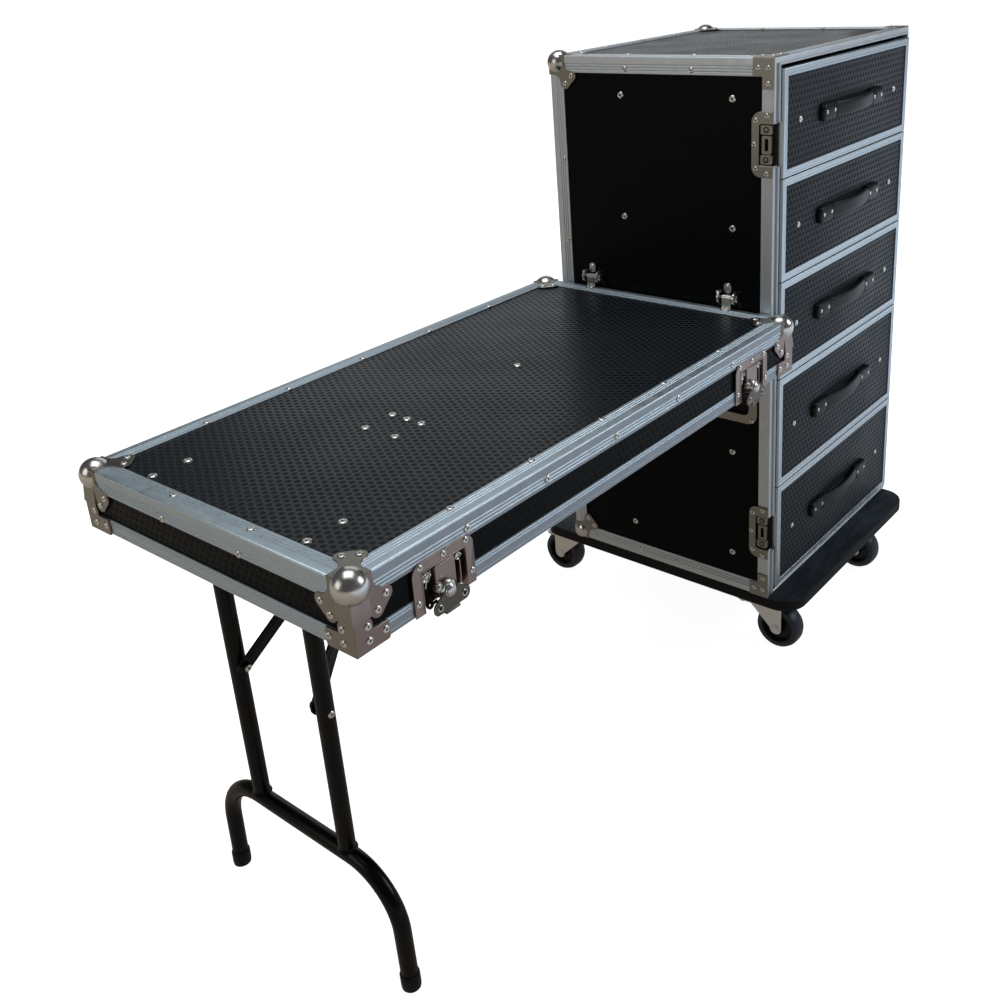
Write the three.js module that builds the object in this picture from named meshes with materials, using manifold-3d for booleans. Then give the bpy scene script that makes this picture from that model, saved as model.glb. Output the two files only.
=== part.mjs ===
// Road case with five drawers on a caster board, and its cover lid standing beside it as a table.
// Millimetres, +Z up. The drawers open towards -Y and the lid stands on the -X side.
import * as THREE from 'three';
import { mergeVertices } from 'three/addons/utils/BufferGeometryUtils.js';
import Module from 'manifold-3d';

const wasm = await Module();
wasm.setup();

// Fits and cuts shared by every piece
const FIT_GAP = 0.3;
const CUT_OVERRUN = 5;
const RUN_CLEARANCE = 0.5;
const ROUND_SEGMENTS = 16;
const FINE_SEGMENTS = 24;

// Case body
const CASE_WIDTH = 540;
const CASE_DEPTH = 460;
const CASE_HEIGHT = 1000;
const EDGING_LEG = 30;
const EDGING_WALL = 2;
const EDGING_CORE = 11.5;
const PANEL_THICKNESS = 9;
const PANEL_OUT = EDGING_WALL + FIT_GAP;
const PANEL_IN = PANEL_OUT + PANEL_THICKNESS;
const PANEL_END = EDGING_CORE + FIT_GAP;

// Front frame: a channel that takes the panels' edges, with a lip that the drawers close beside
const FRAME_FLANGE = 22;
const FRAME_FACE = 13.2;
const FRAME_LIP_WIDTH = 4;
const FRAME_LIP_RISE = 5;
const FRAME_INNER_WALL = FRAME_FACE - PANEL_IN - FIT_GAP;
const CORNER_PLATE_RISE = 1.5;
const CORNER_PLATE_ARM = 39;
const CORNER_PLATE_ARM_WIDTH = 28.5;
const CORNER_PLATE_LENGTH = 50;

// Corners with a ball
const BALL_RADIUS = 22;
const BALL_INSET = 13;
const BALL_PLATE_LENGTH = 34;
const BALL_PLATE_RISE = 1.2;
const BALL_PLATE_TIP = 5;
const BALL_LOBE_NEAR = 35.5;
const BALL_LOBE_FAR = 49.5;
const BALL_LOBE_RADIUS = 10;
const BALL_SEGMENTS = 16;
const BALL_RINGS = 10;

// Catch plates in the case sides, which the lid's latches reach
const CATCH_HALF_HEIGHT = 54;
const CATCH_FROM_END = 139;
const CATCH_REACH = 40;
const CATCH_CORNER = 16;
const CATCH_SHEET = 2;
const CATCH_PAN_HALF = 36;
const CATCH_PAN_REACH = 32;
const CATCH_PAN_WALL = 1.5;
const CATCH_PAN_FLOOR = PANEL_IN - FIT_GAP;
const CATCH_CUT = FRAME_LIP_RISE + CUT_OVERRUN;
const CATCH_BLOCK_RISE = 8;
const CATCH_BLOCK_LENGTH = 20;
const CATCH_BLOCK_INSET = 5;
const CATCH_BLOCK_WALL = 3;

// Recessed bail handles in the case sides
const DISH_Y = 27;
const DISH_LENGTH = 178;
const DISH_Z = 354;
const DISH_HEIGHT = 138;
const DISH_FLANGE = 17;
const DISH_CORNER = 20;
const DISH_SHEET = 2;
const DISH_PAN_WALL = 1.5;
const BAIL_ROD = 3.6;
const BAIL_SIDES = 12;
const BAIL_GRIP = 5.2;
const BAIL_HALF_WIDTH = 52;
const BAIL_DROP = 62;
const BAIL_TOP_INSET = 16;
const BAIL_KNUCKLE_OFFSET = 32;
const BAIL_KNUCKLE_HALF = 7;
const BAIL_KNUCKLE_RADIUS = 5.4;
const BAIL_STANDOFF = 6;

// Brackets that carry the table on the case side
const HOOK_FROM_EDGE = 82;
const HOOK_PLATE_HALF = 25;
const HOOK_PLATE_SHEET = 2;
const HOOK_PLATE_DROP = 36;
const HOOK_PIN_RADIUS = 3;
const HOOK_PIN_OUT = 8;
const HOOK_PIN_ABOVE = 20;
const HOOK_EAR_HALF = 13;
const HOOK_EAR_SHEET = 4;
const HOOK_EAR_RADIUS = 11;
const HOOK_STRAP_SHEET = 2;
const HOOK_STRAP_HALF = 9;
const HOOK_STRAP_FOOT = 26;
const HOOK_STRAP_TIP = 5;

// Runner racks inside the sides
const BATTEN_THICKNESS = 6;
const BATTEN_WIDTH = 24;
const BATTEN_FROM_FRONT = 78;
const BATTEN_FROM_BACK = 156;
const BATTEN_END_GAP = 8;
const CHANNEL_DEPTH = 9.4;
const CHANNEL_WALL = 1.6;
const CHANNEL_HALF_HEIGHT = 14;
const CHANNEL_GROOVE_HALF = 10.4;
const CHANNEL_FRONT = 20;
const CHANNEL_FROM_BACK = 20;
const RUNNER_HALF_HEIGHT = 10;
const RUNNER_FROM_BACK = 60;
const RUNNER_OVERLAP = 2;

// Drawers
const DRAWER_SIDE_GAP = 3.3;
const DRAWER_BOTTOM_GAP = 6.8;
const DRAWER_GAP = 2;
const DRAWER_TOP_GAP = 5.8;
const DRAWER_HEIGHT_SHARES = [211, 211, 177, 177, 177];
const DRAWER_FRONT_PLANE = 9.5;
const DRAWER_FRAME_RISE = 1.5;
const DRAWER_FRONT_BACK = 1.5;
const DRAWER_FRAME_WIDTH = 13;
const DRAWER_BOX_INSET = 30;
const DRAWER_BOX_FROM_BACK = 43.2;
const DRAWER_WALL = 9;
const DRAWER_FLOOR = 6;
const DRAWER_BOX_BOTTOM_GAP = 8;
const DRAWER_BOX_TOP_GAP = 28;
const RUNNER_ABOVE_BOTTOM = 60;

// Strap handles on the drawers
const HANDLE_LENGTH = 256;
const HANDLE_CAP_LENGTH = 42;
const HANDLE_CAP_HALF_HEIGHT = 12;
const HANDLE_CAP_DEPTH = 10;
const HANDLE_GRIP_HALF_HEIGHT = 9;
const HANDLE_GRIP_THICKNESS = 8;
const HANDLE_BOW = 9;
const HANDLE_GRIP_OVERLAP = 8;
const HANDLE_ARC_STEPS = 12;

// Lid that stands as a table
const LID_LENGTH = CASE_HEIGHT;
const LID_WIDTH = CASE_WIDTH;
const LID_DEPTH = 92;
const LID_TOP = 572;
const LID_CASE_GAP = 5;
const RIM_HEIGHT = 24.5;
const RIM_FACE = 13.2;
const RIM_INNER_HEIGHT = 16;
const RIM_INNER_WALL = 1.6;
const BRACE_PLATE_LENGTH = 48;
const BRACE_PLATE_RISE = 1.2;

// Latches on the long sides of the lid
const LATCH_HALF_LENGTH = 51;
const LATCH_TOP_GAP = 24;
const LATCH_CORNER = 14;
const LATCH_SHEET = 2;
const LATCH_PAN_HALF = 37;
const LATCH_PAN_TOP = 55;
const LATCH_PAN_WALL = 1.5;
const LATCH_BOSS_HEIGHT = 15;
const LATCH_BOSS_RADIUS = 11;
const LATCH_BOSS_THICKNESS = 5;
const LATCH_WING_HALF = 30;
const LATCH_WING_WIDTH = 21;
const LATCH_WING_DROP = 14;
const LATCH_WEB_HALF = 13;
const LATCH_WEB_DROP = 29.5;
const LATCH_WING_THICKNESS = 2.5;
const LATCH_WING_LIFT = 3;
const LATCH_SHAFT_RADIUS = 4;

// Folding leg with its brace
const LEG_FROM_END = 71;
const LEG_TUBE_RADIUS = 12.25;
const LEG_PIVOT_DROP = 26.5;
const LEG_UPRIGHT_HALF = 93.5;
const LEG_AXLE_HALF = 172;
const LEG_BAR_HEIGHT = 50;
const LEG_BEND_RADIUS = 86;
const LEG_BEND_HALF = 101;
const LEG_FOOT_HALF = 190;
const LEG_TUBE_SIDES = 12;
const LEG_SWEEP_STEPS = 22;
const LEG_MIDDLE_OVERLAP = 4;
const FOOT_CAP_HEIGHT = 26;
const FOOT_CAP_RISE = 1.8;
const BRACE_ARM_DROP = 260.5;
const BRACE_BAR_WIDTH = 21;
const BRACE_BAR_SHEET = 4;
const BRACE_WIDE_HALF = 76;
const BRACE_NARROW_HALF = 32;
const BRACE_PIN_RADIUS = 4;
const BRACE_EYE_CLEARANCE = 1;
const BRACE_PIN_END_HALF = 70;
const BRACE_HEAD_RADIUS = 6.5;
const BRACE_HEAD_LENGTH = 2.5;
const LINK_SHEET = 5;
const LINK_TEE_HALF = 27;
const LINK_LUG_SHEET = 4;
const LINK_LUG_GAP = 3.5;
const LINK_LUG_HALF = 10;
const LINK_PLATE_LENGTH = 53.5;
const LINK_PLATE_WIDTH = 59.5;
const LINK_PLATE_SHEET = 2;
const PIVOT_HALF_SPACING = 157;
const PIVOT_PLATE_HALF = 32;
const PIVOT_PLATE_SHEET = 2;
const PIVOT_SADDLE_WALL = 4;
const PIVOT_SADDLE_HALF = 13;

// Caster board
const BOARD_FRONT = 63;
const BOARD_BACK = 100;
const BOARD_THICKNESS = 22;
const BOARD_CORNER = 45;
const BOARD_CORNER_STEPS = 8;
const CASTER_FROM_LEFT = 52;
const CASTER_FROM_RIGHT = 130;
const CASTER_FROM_FRONT = 28;
const CASTER_BEHIND = 47;
const CASTER_TRAIL = 29;
const CASTER_PLATE_LENGTH = 100;
const CASTER_PLATE_WIDTH = 84;
const CASTER_PLATE_SHEET = 2.5;
const CASTER_RACE_RADIUS = 27;
const CASTER_RACE_HEIGHT = 5;
const CASTER_STUD_RADIUS = 7;
const CASTER_STUD_LENGTH = 4;
const WHEEL_RADIUS = 45;
const WHEEL_WIDTH = 34;
const WHEEL_ROUNDING = 6;
const WHEEL_HUB_RADIUS = 30;
const WHEEL_HUB_INSET = 4;
const WHEEL_BORE = 6.5;
const WHEEL_SEGMENTS = 24;
const AXLE_RADIUS = 6;
const FORK_SHEET = 3;
const FORK_SIDE_GAP = 2.5;
const FORK_HALF_LENGTH = 27;
const FORK_EYE_RADIUS = 12;
const FORK_AXLE_OUT = 4;
const CASTER_HEIGHT = 108;

// Places worked out from the sizes
const FLOOR = -(BOARD_THICKNESS + CASTER_HEIGHT);
const CENTRE_Y = CASE_DEPTH / 2;
const CENTRE_Z = CASE_HEIGHT / 2;
const LID_X1 = -LID_CASE_GAP;
const LID_X0 = LID_X1 - LID_LENGTH;
const LID_Y0 = CENTRE_Y - LID_WIDTH / 2;
const LID_Y1 = CENTRE_Y + LID_WIDTH / 2;
const LID_BOTTOM = LID_TOP - LID_DEPTH;
const LID_CENTRE_X = (LID_X0 + LID_X1) / 2;
const LID_CEILING = LID_TOP - PANEL_IN;
const CATCH_OFFSET = CASE_HEIGHT / 2 - CATCH_FROM_END;
const HOOK_PLACES = { front: HOOK_FROM_EDGE, rear: CASE_DEPTH - HOOK_FROM_EDGE };
const BATTEN_PLACES = [BATTEN_FROM_FRONT, CASE_DEPTH - BATTEN_FROM_BACK];
const CASTER_PLACES_X = [CASTER_FROM_LEFT, CASE_WIDTH - CASTER_FROM_RIGHT];
const CASTER_PLACES_Y = [CASTER_FROM_FRONT, CASE_DEPTH + CASTER_BEHIND];
const LEG_X = LID_X0 + LEG_FROM_END;
const PIVOT_Z = LID_TOP - LEG_PIVOT_DROP;
const LINK_X = LEG_X + BRACE_ARM_DROP;
const ELBOW_X = (LEG_X + LINK_X) / 2;
const ARM_PIN_Z = PIVOT_Z - BRACE_ARM_DROP;
const ELBOW_Z = (PIVOT_Z + ARM_PIN_Z) / 2;

// Colours of the real surfaces
const PALETTE = {
  laminate: { color: 0x1b191a, roughness: 0.55, metalness: 0 },
  drawerLaminate: { color: 0x2c292c, roughness: 0.6, metalness: 0 },
  aluminium: { color: 0xa9b4bd, roughness: 0.4, metalness: 1 },
  platedSteel: { color: 0x6e6664, roughness: 0.35, metalness: 1 },
  zincSteel: { color: 0x8d8a84, roughness: 0.4, metalness: 1 },
  blackSteel: { color: 0x17181a, roughness: 0.4, metalness: 0.2 },
  plastic: { color: 0x16181b, roughness: 0.5, metalness: 0 },
  plywood: { color: 0x8a6f4d, roughness: 0.75, metalness: 0 },
  board: { color: 0x2c333b, roughness: 0.6, metalness: 0 },
  tyre: { color: 0x2b3540, roughness: 0.7, metalness: 0 },
  runner: { color: 0x8f9396, roughness: 0.4, metalness: 1 },
};

// Turns a closed three.js geometry into a solid that can be cut and joined
function toSolid(geometry) {
  const bare = geometry.clone();
  bare.deleteAttribute('normal');
  bare.deleteAttribute('uv');
  const welded = mergeVertices(bare, 1e-4);
  const mesh = new wasm.Mesh({
    numProp: 3,
    vertProperties: new Float32Array(welded.attributes.position.array),
    triVerts: new Uint32Array(welded.index.array),
  });
  return new wasm.Manifold(mesh);
}

// Turns a solid back into a three.js geometry
function toGeometry(solid) {
  const mesh = solid.getMesh();
  const geometry = new THREE.BufferGeometry();
  geometry.setAttribute('position', new THREE.BufferAttribute(new Float32Array(mesh.vertProperties), 3));
  geometry.setIndex(new THREE.BufferAttribute(new Uint32Array(mesh.triVerts), 1));
  geometry.computeVertexNormals();
  return geometry;
}

function join(solids) {
  return solids.reduce((sum, next) => sum.add(next));
}

function cut(solid, tools) {
  return tools.reduce((rest, tool) => rest.subtract(tool), solid);
}

// Box between two corners, given as one range for each axis
function block(x, y, z) {
  const geometry = new THREE.BoxGeometry(x[1] - x[0], y[1] - y[0], z[1] - z[0]);
  geometry.translate((x[0] + x[1]) / 2, (y[0] + y[1]) / 2, (z[0] + z[1]) / 2);
  return toSolid(geometry);
}

// Maps the two drawing axes and the depth axis of a flat outline onto X, Y and Z
const AXIS_BASIS = {
  x: new THREE.Matrix4().set(0, 0, 1, 0, 1, 0, 0, 0, 0, 1, 0, 0, 0, 0, 0, 1),
  y: new THREE.Matrix4().set(0, 1, 0, 0, 0, 0, 1, 0, 1, 0, 0, 0, 0, 0, 0, 1),
  z: new THREE.Matrix4(),
};

// Prism of an outline. Its points are (y, z) along x, (z, x) along y and (x, y) along z.
function prism(axis, outline, from, to) {
  const shape = new THREE.Shape(outline.map(([u, v]) => new THREE.Vector2(u, v)));
  const geometry = new THREE.ExtrudeGeometry(shape, { depth: to - from, bevelEnabled: false });
  geometry.translate(0, 0, from);
  geometry.applyMatrix4(AXIS_BASIS[axis]);
  return toSolid(geometry);
}

// Round bar along an axis; its centre is given as the same pair of coordinates as a prism's points
function bar(axis, radius, centre, from, to, segments = ROUND_SEGMENTS) {
  return prism(axis, arc(centre, radius, 0, Math.PI * 2, segments).slice(1), from, to);
}

// Points of an arc, both ends included
function arc([u, v], radius, start, end, steps) {
  const points = [];
  for (let step = 0; step <= steps; step += 1) {
    const angle = start + (end - start) * step / steps;
    points.push([u + radius * Math.cos(angle), v + radius * Math.sin(angle)]);
  }
  return points;
}

// Rectangle outline whose four corners are rounded by their own radii, from the low-low corner round
function roundedOutline(u, v, radii, steps) {
  const corners = [
    [u[0], v[0], 1, 1, Math.PI],
    [u[1], v[0], -1, 1, Math.PI * 1.5],
    [u[1], v[1], -1, -1, 0],
    [u[0], v[1], 1, -1, Math.PI / 2],
  ];
  return corners.flatMap(([cu, cv, su, sv, start], index) => {
    const radius = radii[index];
    if (radius === 0) return [[cu, cv]];
    return arc([cu + su * radius, cv + sv * radius], radius, start, start + Math.PI / 2, steps);
  });
}

// Bar with rounded ends between two points of the XZ plane, as a (z, x) outline along y
function linkOutline(start, end, halfWidth, steps) {
  const angle = Math.atan2(end[1] - start[1], end[0] - start[0]);
  const tail = arc(start, halfWidth, angle + Math.PI / 2, angle + Math.PI * 1.5, steps);
  const head = arc(end, halfWidth, angle - Math.PI / 2, angle + Math.PI / 2, steps);
  return [...tail, ...head];
}

function mirrorX(solid, plane) {
  const geometry = toGeometry(solid);
  geometry.applyMatrix4(new THREE.Matrix4().makeScale(-1, 1, 1));
  return flipped(geometry, [2 * plane, 0, 0]);
}

function mirrorY(solid, plane) {
  const geometry = toGeometry(solid);
  geometry.applyMatrix4(new THREE.Matrix4().makeScale(1, -1, 1));
  return flipped(geometry, [0, 2 * plane, 0]);
}

function mirrorZ(solid, plane) {
  const geometry = toGeometry(solid);
  geometry.applyMatrix4(new THREE.Matrix4().makeScale(1, 1, -1));
  return flipped(geometry, [0, 0, 2 * plane]);
}

// A mirrored mesh has its faces turned round, so each triangle's order is turned back
function flipped(geometry, shift) {
  const order = geometry.index.array;
  for (let at = 0; at < order.length; at += 3) {
    const first = order[at];
    order[at] = order[at + 1];
    order[at + 1] = first;
  }
  geometry.translate(...shift);
  return toSolid(geometry);
}

function moved(solid, x, y, z) {
  const geometry = toGeometry(solid);
  geometry.translate(x, y, z);
  return toSolid(geometry);
}

const group = new THREE.Group();
const assembly = new THREE.Group();
group.add(assembly);

function addMesh(name, solid, finish, parent = assembly, place = [0, 0, 0]) {
  const geometry = toGeometry(solid);
  geometry.translate(-place[0], -place[1], -place[2]);
  const mesh = new THREE.Mesh(geometry, new THREE.MeshStandardMaterial(PALETTE[finish]));
  mesh.name = name;
  mesh.position.set(...place);
  parent.add(mesh);
  return mesh;
}

// Range of a given depth on the low or the high side of a size
function band(side, size, from, to) {
  return side < 0 ? [from, to] : [size - to, size - from];
}

// Box ring in the XZ plane between two insets of the case outline
function caseRing(outer, inner, y) {
  const outside = block([outer, CASE_WIDTH - outer], y, [outer, CASE_HEIGHT - outer]);
  const opening = [y[0] - CUT_OVERRUN, y[1] + CUT_OVERRUN];
  return outside.subtract(block([inner, CASE_WIDTH - inner], opening, [inner, CASE_HEIGHT - inner]));
}

// Angle edging with its solid core along one edge of the case
function edging(axis, sideU, sideV, sizeU, sizeV, range) {
  const profile = [
    [band(sideU, sizeU, 0, EDGING_WALL), band(sideV, sizeV, 0, EDGING_LEG)],
    [band(sideU, sizeU, 0, EDGING_LEG), band(sideV, sizeV, 0, EDGING_WALL)],
    [band(sideU, sizeU, 0, EDGING_CORE), band(sideV, sizeV, 0, EDGING_CORE)],
  ];
  const place = {
    x: ([u, v]) => block(range, u, v),
    y: ([u, v]) => block(u, range, v),
    z: ([u, v]) => block(u, v, range),
  };
  return join(profile.map(place[axis]));
}

// Outline of a ball corner's plate: a band along both edges and two lobes on the diagonal's sides
function ballPlateOutline(signU, signV) {
  const low = -BALL_PLATE_RISE;
  const radius = BALL_LOBE_RADIUS;
  const fillet = BALL_LOBE_FAR - BALL_PLATE_LENGTH;
  const waist = arc([BALL_LOBE_FAR, BALL_LOBE_NEAR - radius - fillet], fillet, Math.PI, Math.PI / 2, 4);
  const points = [
    [BALL_PLATE_TIP, low],
    [BALL_PLATE_LENGTH, low],
    ...waist,
    ...arc([BALL_LOBE_FAR, BALL_LOBE_NEAR], radius, -Math.PI / 2, Math.PI / 3, 4).slice(1),
    ...arc([BALL_LOBE_NEAR, BALL_LOBE_FAR], radius, Math.PI / 6, Math.PI, 4).slice(0, -1),
    ...waist.map(([u, v]) => [v, u]).reverse(),
    [low, BALL_PLATE_LENGTH],
    [low, BALL_PLATE_TIP],
  ];
  return points.map(([u, v]) => [signU * u, signV * v]);
}

// Ball corner: three plates on the faces and a ball, for the corner at low x, low y and high z
function ballCorner() {
  const top = prism('z', ballPlateOutline(1, 1), -EDGING_WALL, BALL_PLATE_RISE);
  const left = prism('x', ballPlateOutline(1, -1), -BALL_PLATE_RISE, EDGING_WALL);
  const front = prism('y', ballPlateOutline(-1, 1), -BALL_PLATE_RISE, EDGING_WALL);
  const ball = new THREE.SphereGeometry(BALL_RADIUS, BALL_SEGMENTS, BALL_RINGS);
  ball.translate(BALL_INSET, BALL_INSET, -BALL_INSET);
  const shell = toSolid(ball);
  const reach = BALL_INSET + BALL_RADIUS + FIT_GAP;
  const inner = [EDGING_WALL, reach];
  const hollow = block(inner, inner, [-reach, -EDGING_WALL]);
  return join([top, left, front, shell.subtract(hollow)]);
}

// Case body: panels, rear edging and the front frame
function buildCaseBody() {
  const inX = [PANEL_END, CASE_WIDTH - PANEL_END];
  const inY = [PANEL_OUT, CASE_DEPTH - PANEL_END];
  const inZ = [PANEL_END, CASE_HEIGHT - PANEL_END];
  const sidePanel = cut(block([PANEL_OUT, PANEL_IN], inY, inZ), [dishOpening(), ...catchOpenings()]);
  addMesh('side_panel_left', sidePanel, 'laminate');
  addMesh('side_panel_right', mirrorX(sidePanel, CASE_WIDTH / 2), 'laminate');
  const bottom = block(inX, inY, [PANEL_OUT, PANEL_IN]);
  addMesh('bottom_panel', bottom, 'laminate');
  addMesh('top_panel', moved(bottom, 0, 0, CASE_HEIGHT - PANEL_IN - PANEL_OUT), 'laminate');
  const backY = [CASE_DEPTH - PANEL_IN, CASE_DEPTH - PANEL_OUT];
  addMesh('back_panel', block(inX, backY, inZ), 'laminate');
  addMesh('case_edging', caseEdging(), 'aluminium');
  addMesh('front_frame', frontFrame(), 'aluminium');
}

function caseEdging() {
  const railStart = FRAME_FLANGE + FIT_GAP;
  const rails = [];
  for (const side of [-1, 1]) {
    for (const level of [-1, 1]) {
      rails.push(edging('y', side, level, CASE_WIDTH, CASE_HEIGHT, [railStart, CASE_DEPTH]));
    }
    rails.push(edging('z', side, 1, CASE_WIDTH, CASE_DEPTH, [0, CASE_HEIGHT]));
    rails.push(edging('x', 1, side, CASE_DEPTH, CASE_HEIGHT, [0, CASE_WIDTH]));
  }
  const backLeft = moved(mirrorY(ballCorner(), 0), 0, CASE_DEPTH, CASE_HEIGHT);
  const topBalls = [backLeft, mirrorX(backLeft, CASE_WIDTH / 2)];
  const lowBalls = topBalls.map((ball) => mirrorZ(ball, CENTRE_Z));
  const below = block(
    [-EDGING_LEG, CASE_WIDTH + EDGING_LEG],
    [0, CASE_DEPTH + EDGING_LEG],
    [-EDGING_LEG, 0],
  );
  return join([...rails, ...topBalls, ...lowBalls]).subtract(below);
}

function frontFrame() {
  const flange = caseRing(0, EDGING_WALL, [0, FRAME_FLANGE]);
  const face = caseRing(0, FRAME_FACE, [0, EDGING_WALL]);
  const lip = caseRing(FRAME_FACE - FRAME_LIP_WIDTH, FRAME_FACE, [-FRAME_LIP_RISE, EDGING_WALL]);
  const inner = caseRing(FRAME_FACE - FRAME_INNER_WALL, FRAME_FACE, [0, FRAME_FLANGE]);
  const catches = catchOpenings();
  const catchCuts = [...catches, ...catches.map((opening) => mirrorX(opening, CASE_WIDTH / 2))];
  const ring = cut(join([flange, face, lip, inner]), catchCuts);
  const plates = [];
  for (const level of [-1, 1]) {
    const height = band(level, CASE_HEIGHT, 0, CORNER_PLATE_LENGTH);
    const arm = band(level, CASE_HEIGHT, 0, CORNER_PLATE_ARM_WIDTH);
    plates.push(block([-CORNER_PLATE_RISE, EDGING_WALL / 2], [0, FRAME_FLANGE], height));
    plates.push(block([-CORNER_PLATE_RISE, -FIT_GAP], [0, CORNER_PLATE_ARM], arm));
  }
  const above = CASE_HEIGHT + CORNER_PLATE_RISE;
  plates.push(block([0, CORNER_PLATE_LENGTH], [0, FRAME_FLANGE], [CASE_HEIGHT - EDGING_WALL / 2, above]));
  plates.push(block([0, CORNER_PLATE_ARM_WIDTH], [0, CORNER_PLATE_ARM], [CASE_HEIGHT + FIT_GAP, above]));
  const mirrored = plates.map((plate) => mirrorX(plate, CASE_WIDTH / 2));
  return join([ring, ...plates, ...mirrored]);
}

// Catch plate: a rounded sheet on the case side with a pan behind it that is open at the front
function catchOpenings() {
  const half = CATCH_PAN_HALF + FIT_GAP;
  const reach = CATCH_PAN_REACH + FIT_GAP;
  return [-1, 1].map((side) => {
    const centre = CENTRE_Z + side * CATCH_OFFSET;
    const height = [centre - half, centre + half];
    const face = block([-CUT_OVERRUN, FRAME_FACE + CUT_OVERRUN], [-CATCH_CUT, EDGING_WALL], height);
    const pan = block([-CUT_OVERRUN, PANEL_IN + FIT_GAP / 2], [-CATCH_CUT, reach], height);
    return face.add(pan);
  });
}

function catchPlate(centre) {
  const height = [centre - CATCH_HALF_HEIGHT, centre + CATCH_HALF_HEIGHT];
  const outline = roundedOutline([0, CATCH_REACH], height, [0, CATCH_CORNER, CATCH_CORNER, 0], 4);
  const outer = -FIT_GAP;
  const sheet = prism('x', outline, outer - CATCH_SHEET, outer);
  const inHeight = [centre - CATCH_PAN_HALF, centre + CATCH_PAN_HALF];
  const shellStart = outer - CATCH_SHEET / 2;
  const shell = block([shellStart, CATCH_PAN_FLOOR], [0, CATCH_PAN_REACH], inHeight);
  const wall = CATCH_PAN_WALL;
  const clearHeight = [inHeight[0] + wall, inHeight[1] - wall];
  const clearReach = CATCH_PAN_REACH - wall;
  const openX = outer - CATCH_SHEET - CUT_OVERRUN;
  const pocket = block([openX, CATCH_PAN_FLOOR - wall], [-CUT_OVERRUN, clearReach], clearHeight);
  const blocks = [-1, 1].map((side) => {
    const end = centre + side * (CATCH_PAN_HALF - wall / 2);
    const start = end - side * CATCH_BLOCK_LENGTH;
    const z = [Math.min(start, end), Math.max(start, end)];
    const y = [CATCH_BLOCK_INSET, clearReach + wall / 2];
    const top = CATCH_PAN_FLOOR - wall - CATCH_BLOCK_RISE;
    const body = block([top, CATCH_PAN_FLOOR - wall / 2], y, z);
    const rim = CATCH_BLOCK_WALL;
    const hole = block(
      [top - CUT_OVERRUN, CATCH_PAN_FLOOR - wall],
      [y[0] + rim, y[1] - rim],
      [z[0] + rim, z[1] - rim],
    );
    return body.subtract(hole);
  });
  return join([sheet.add(shell).subtract(pocket), ...blocks]);
}

function buildCatches() {
  const levels = { lower: -1, upper: 1 };
  for (const [level, side] of Object.entries(levels)) {
    const plate = catchPlate(CENTRE_Z + side * CATCH_OFFSET);
    addMesh(`catch_plate_left_${level}`, plate, 'platedSteel');
    addMesh(`catch_plate_right_${level}`, mirrorX(plate, CASE_WIDTH / 2), 'platedSteel');
  }
}

// Recessed handle: a dish through the side panel and a sprung bail
const DISH_Y_RANGE = [DISH_Y, DISH_Y + DISH_LENGTH];
const DISH_Z_RANGE = [DISH_Z, DISH_Z + DISH_HEIGHT];
const DISH_FLOOR = PANEL_IN - FIT_GAP;
const BAIL_Y = DISH_Y + DISH_LENGTH / 2;
const BAIL_Z = DISH_Z_RANGE[1] - DISH_FLANGE - BAIL_TOP_INSET;
const BAIL_X = DISH_FLOOR - DISH_PAN_WALL - BAIL_STANDOFF;

function insetRange(range, inset) {
  return [range[0] + inset, range[1] - inset];
}

function dishOpening() {
  const inset = DISH_FLANGE - FIT_GAP;
  return block(
    [-CUT_OVERRUN, PANEL_IN + CUT_OVERRUN],
    insetRange(DISH_Y_RANGE, inset),
    insetRange(DISH_Z_RANGE, inset),
  );
}

function handleDish() {
  const radii = [DISH_CORNER, DISH_CORNER, DISH_CORNER, DISH_CORNER];
  const face = PANEL_OUT - FIT_GAP;
  const sheet = prism('x', roundedOutline(DISH_Y_RANGE, DISH_Z_RANGE, radii, 4), face - DISH_SHEET, face);
  const shell = block(
    [face - DISH_SHEET / 2, DISH_FLOOR],
    insetRange(DISH_Y_RANGE, DISH_FLANGE),
    insetRange(DISH_Z_RANGE, DISH_FLANGE),
  );
  const wallInset = DISH_FLANGE + DISH_PAN_WALL;
  const pocket = block(
    [-CUT_OVERRUN, DISH_FLOOR - DISH_PAN_WALL],
    insetRange(DISH_Y_RANGE, wallInset),
    insetRange(DISH_Z_RANGE, wallInset),
  );
  const knuckles = [-1, 1].map((side) => {
    const centre = BAIL_Y + side * BAIL_KNUCKLE_OFFSET;
    const y = [centre - BAIL_KNUCKLE_HALF, centre + BAIL_KNUCKLE_HALF];
    const drum = bar('y', BAIL_KNUCKLE_RADIUS, [BAIL_Z, BAIL_X], y[0], y[1]);
    const seat = block(
      [BAIL_X, DISH_FLOOR - DISH_PAN_WALL / 2],
      y,
      [BAIL_Z - BAIL_KNUCKLE_RADIUS, BAIL_Z + BAIL_KNUCKLE_RADIUS],
    );
    const boreRadius = BAIL_ROD + RUN_CLEARANCE;
    const bore = bar('y', boreRadius, [BAIL_Z, BAIL_X], y[0] - CUT_OVERRUN, y[1] + CUT_OVERRUN);
    return drum.add(seat).subtract(bore);
  });
  return join([sheet.add(shell).subtract(pocket), ...knuckles]);
}

function bail() {
  const left = BAIL_Y - BAIL_HALF_WIDTH;
  const right = BAIL_Y + BAIL_HALF_WIDTH;
  const low = BAIL_Z - BAIL_DROP;
  const reach = [left - BAIL_ROD, right + BAIL_ROD];
  const arms = [left, right].map((y) => bar('z', BAIL_ROD, [BAIL_X, y], low, BAIL_Z, BAIL_SIDES));
  return join([
    bar('y', BAIL_ROD, [BAIL_Z, BAIL_X], reach[0], reach[1], BAIL_SIDES),
    bar('y', BAIL_GRIP, [low, BAIL_X], reach[0], reach[1], BAIL_SIDES),
    ...arms,
  ]);
}

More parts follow.
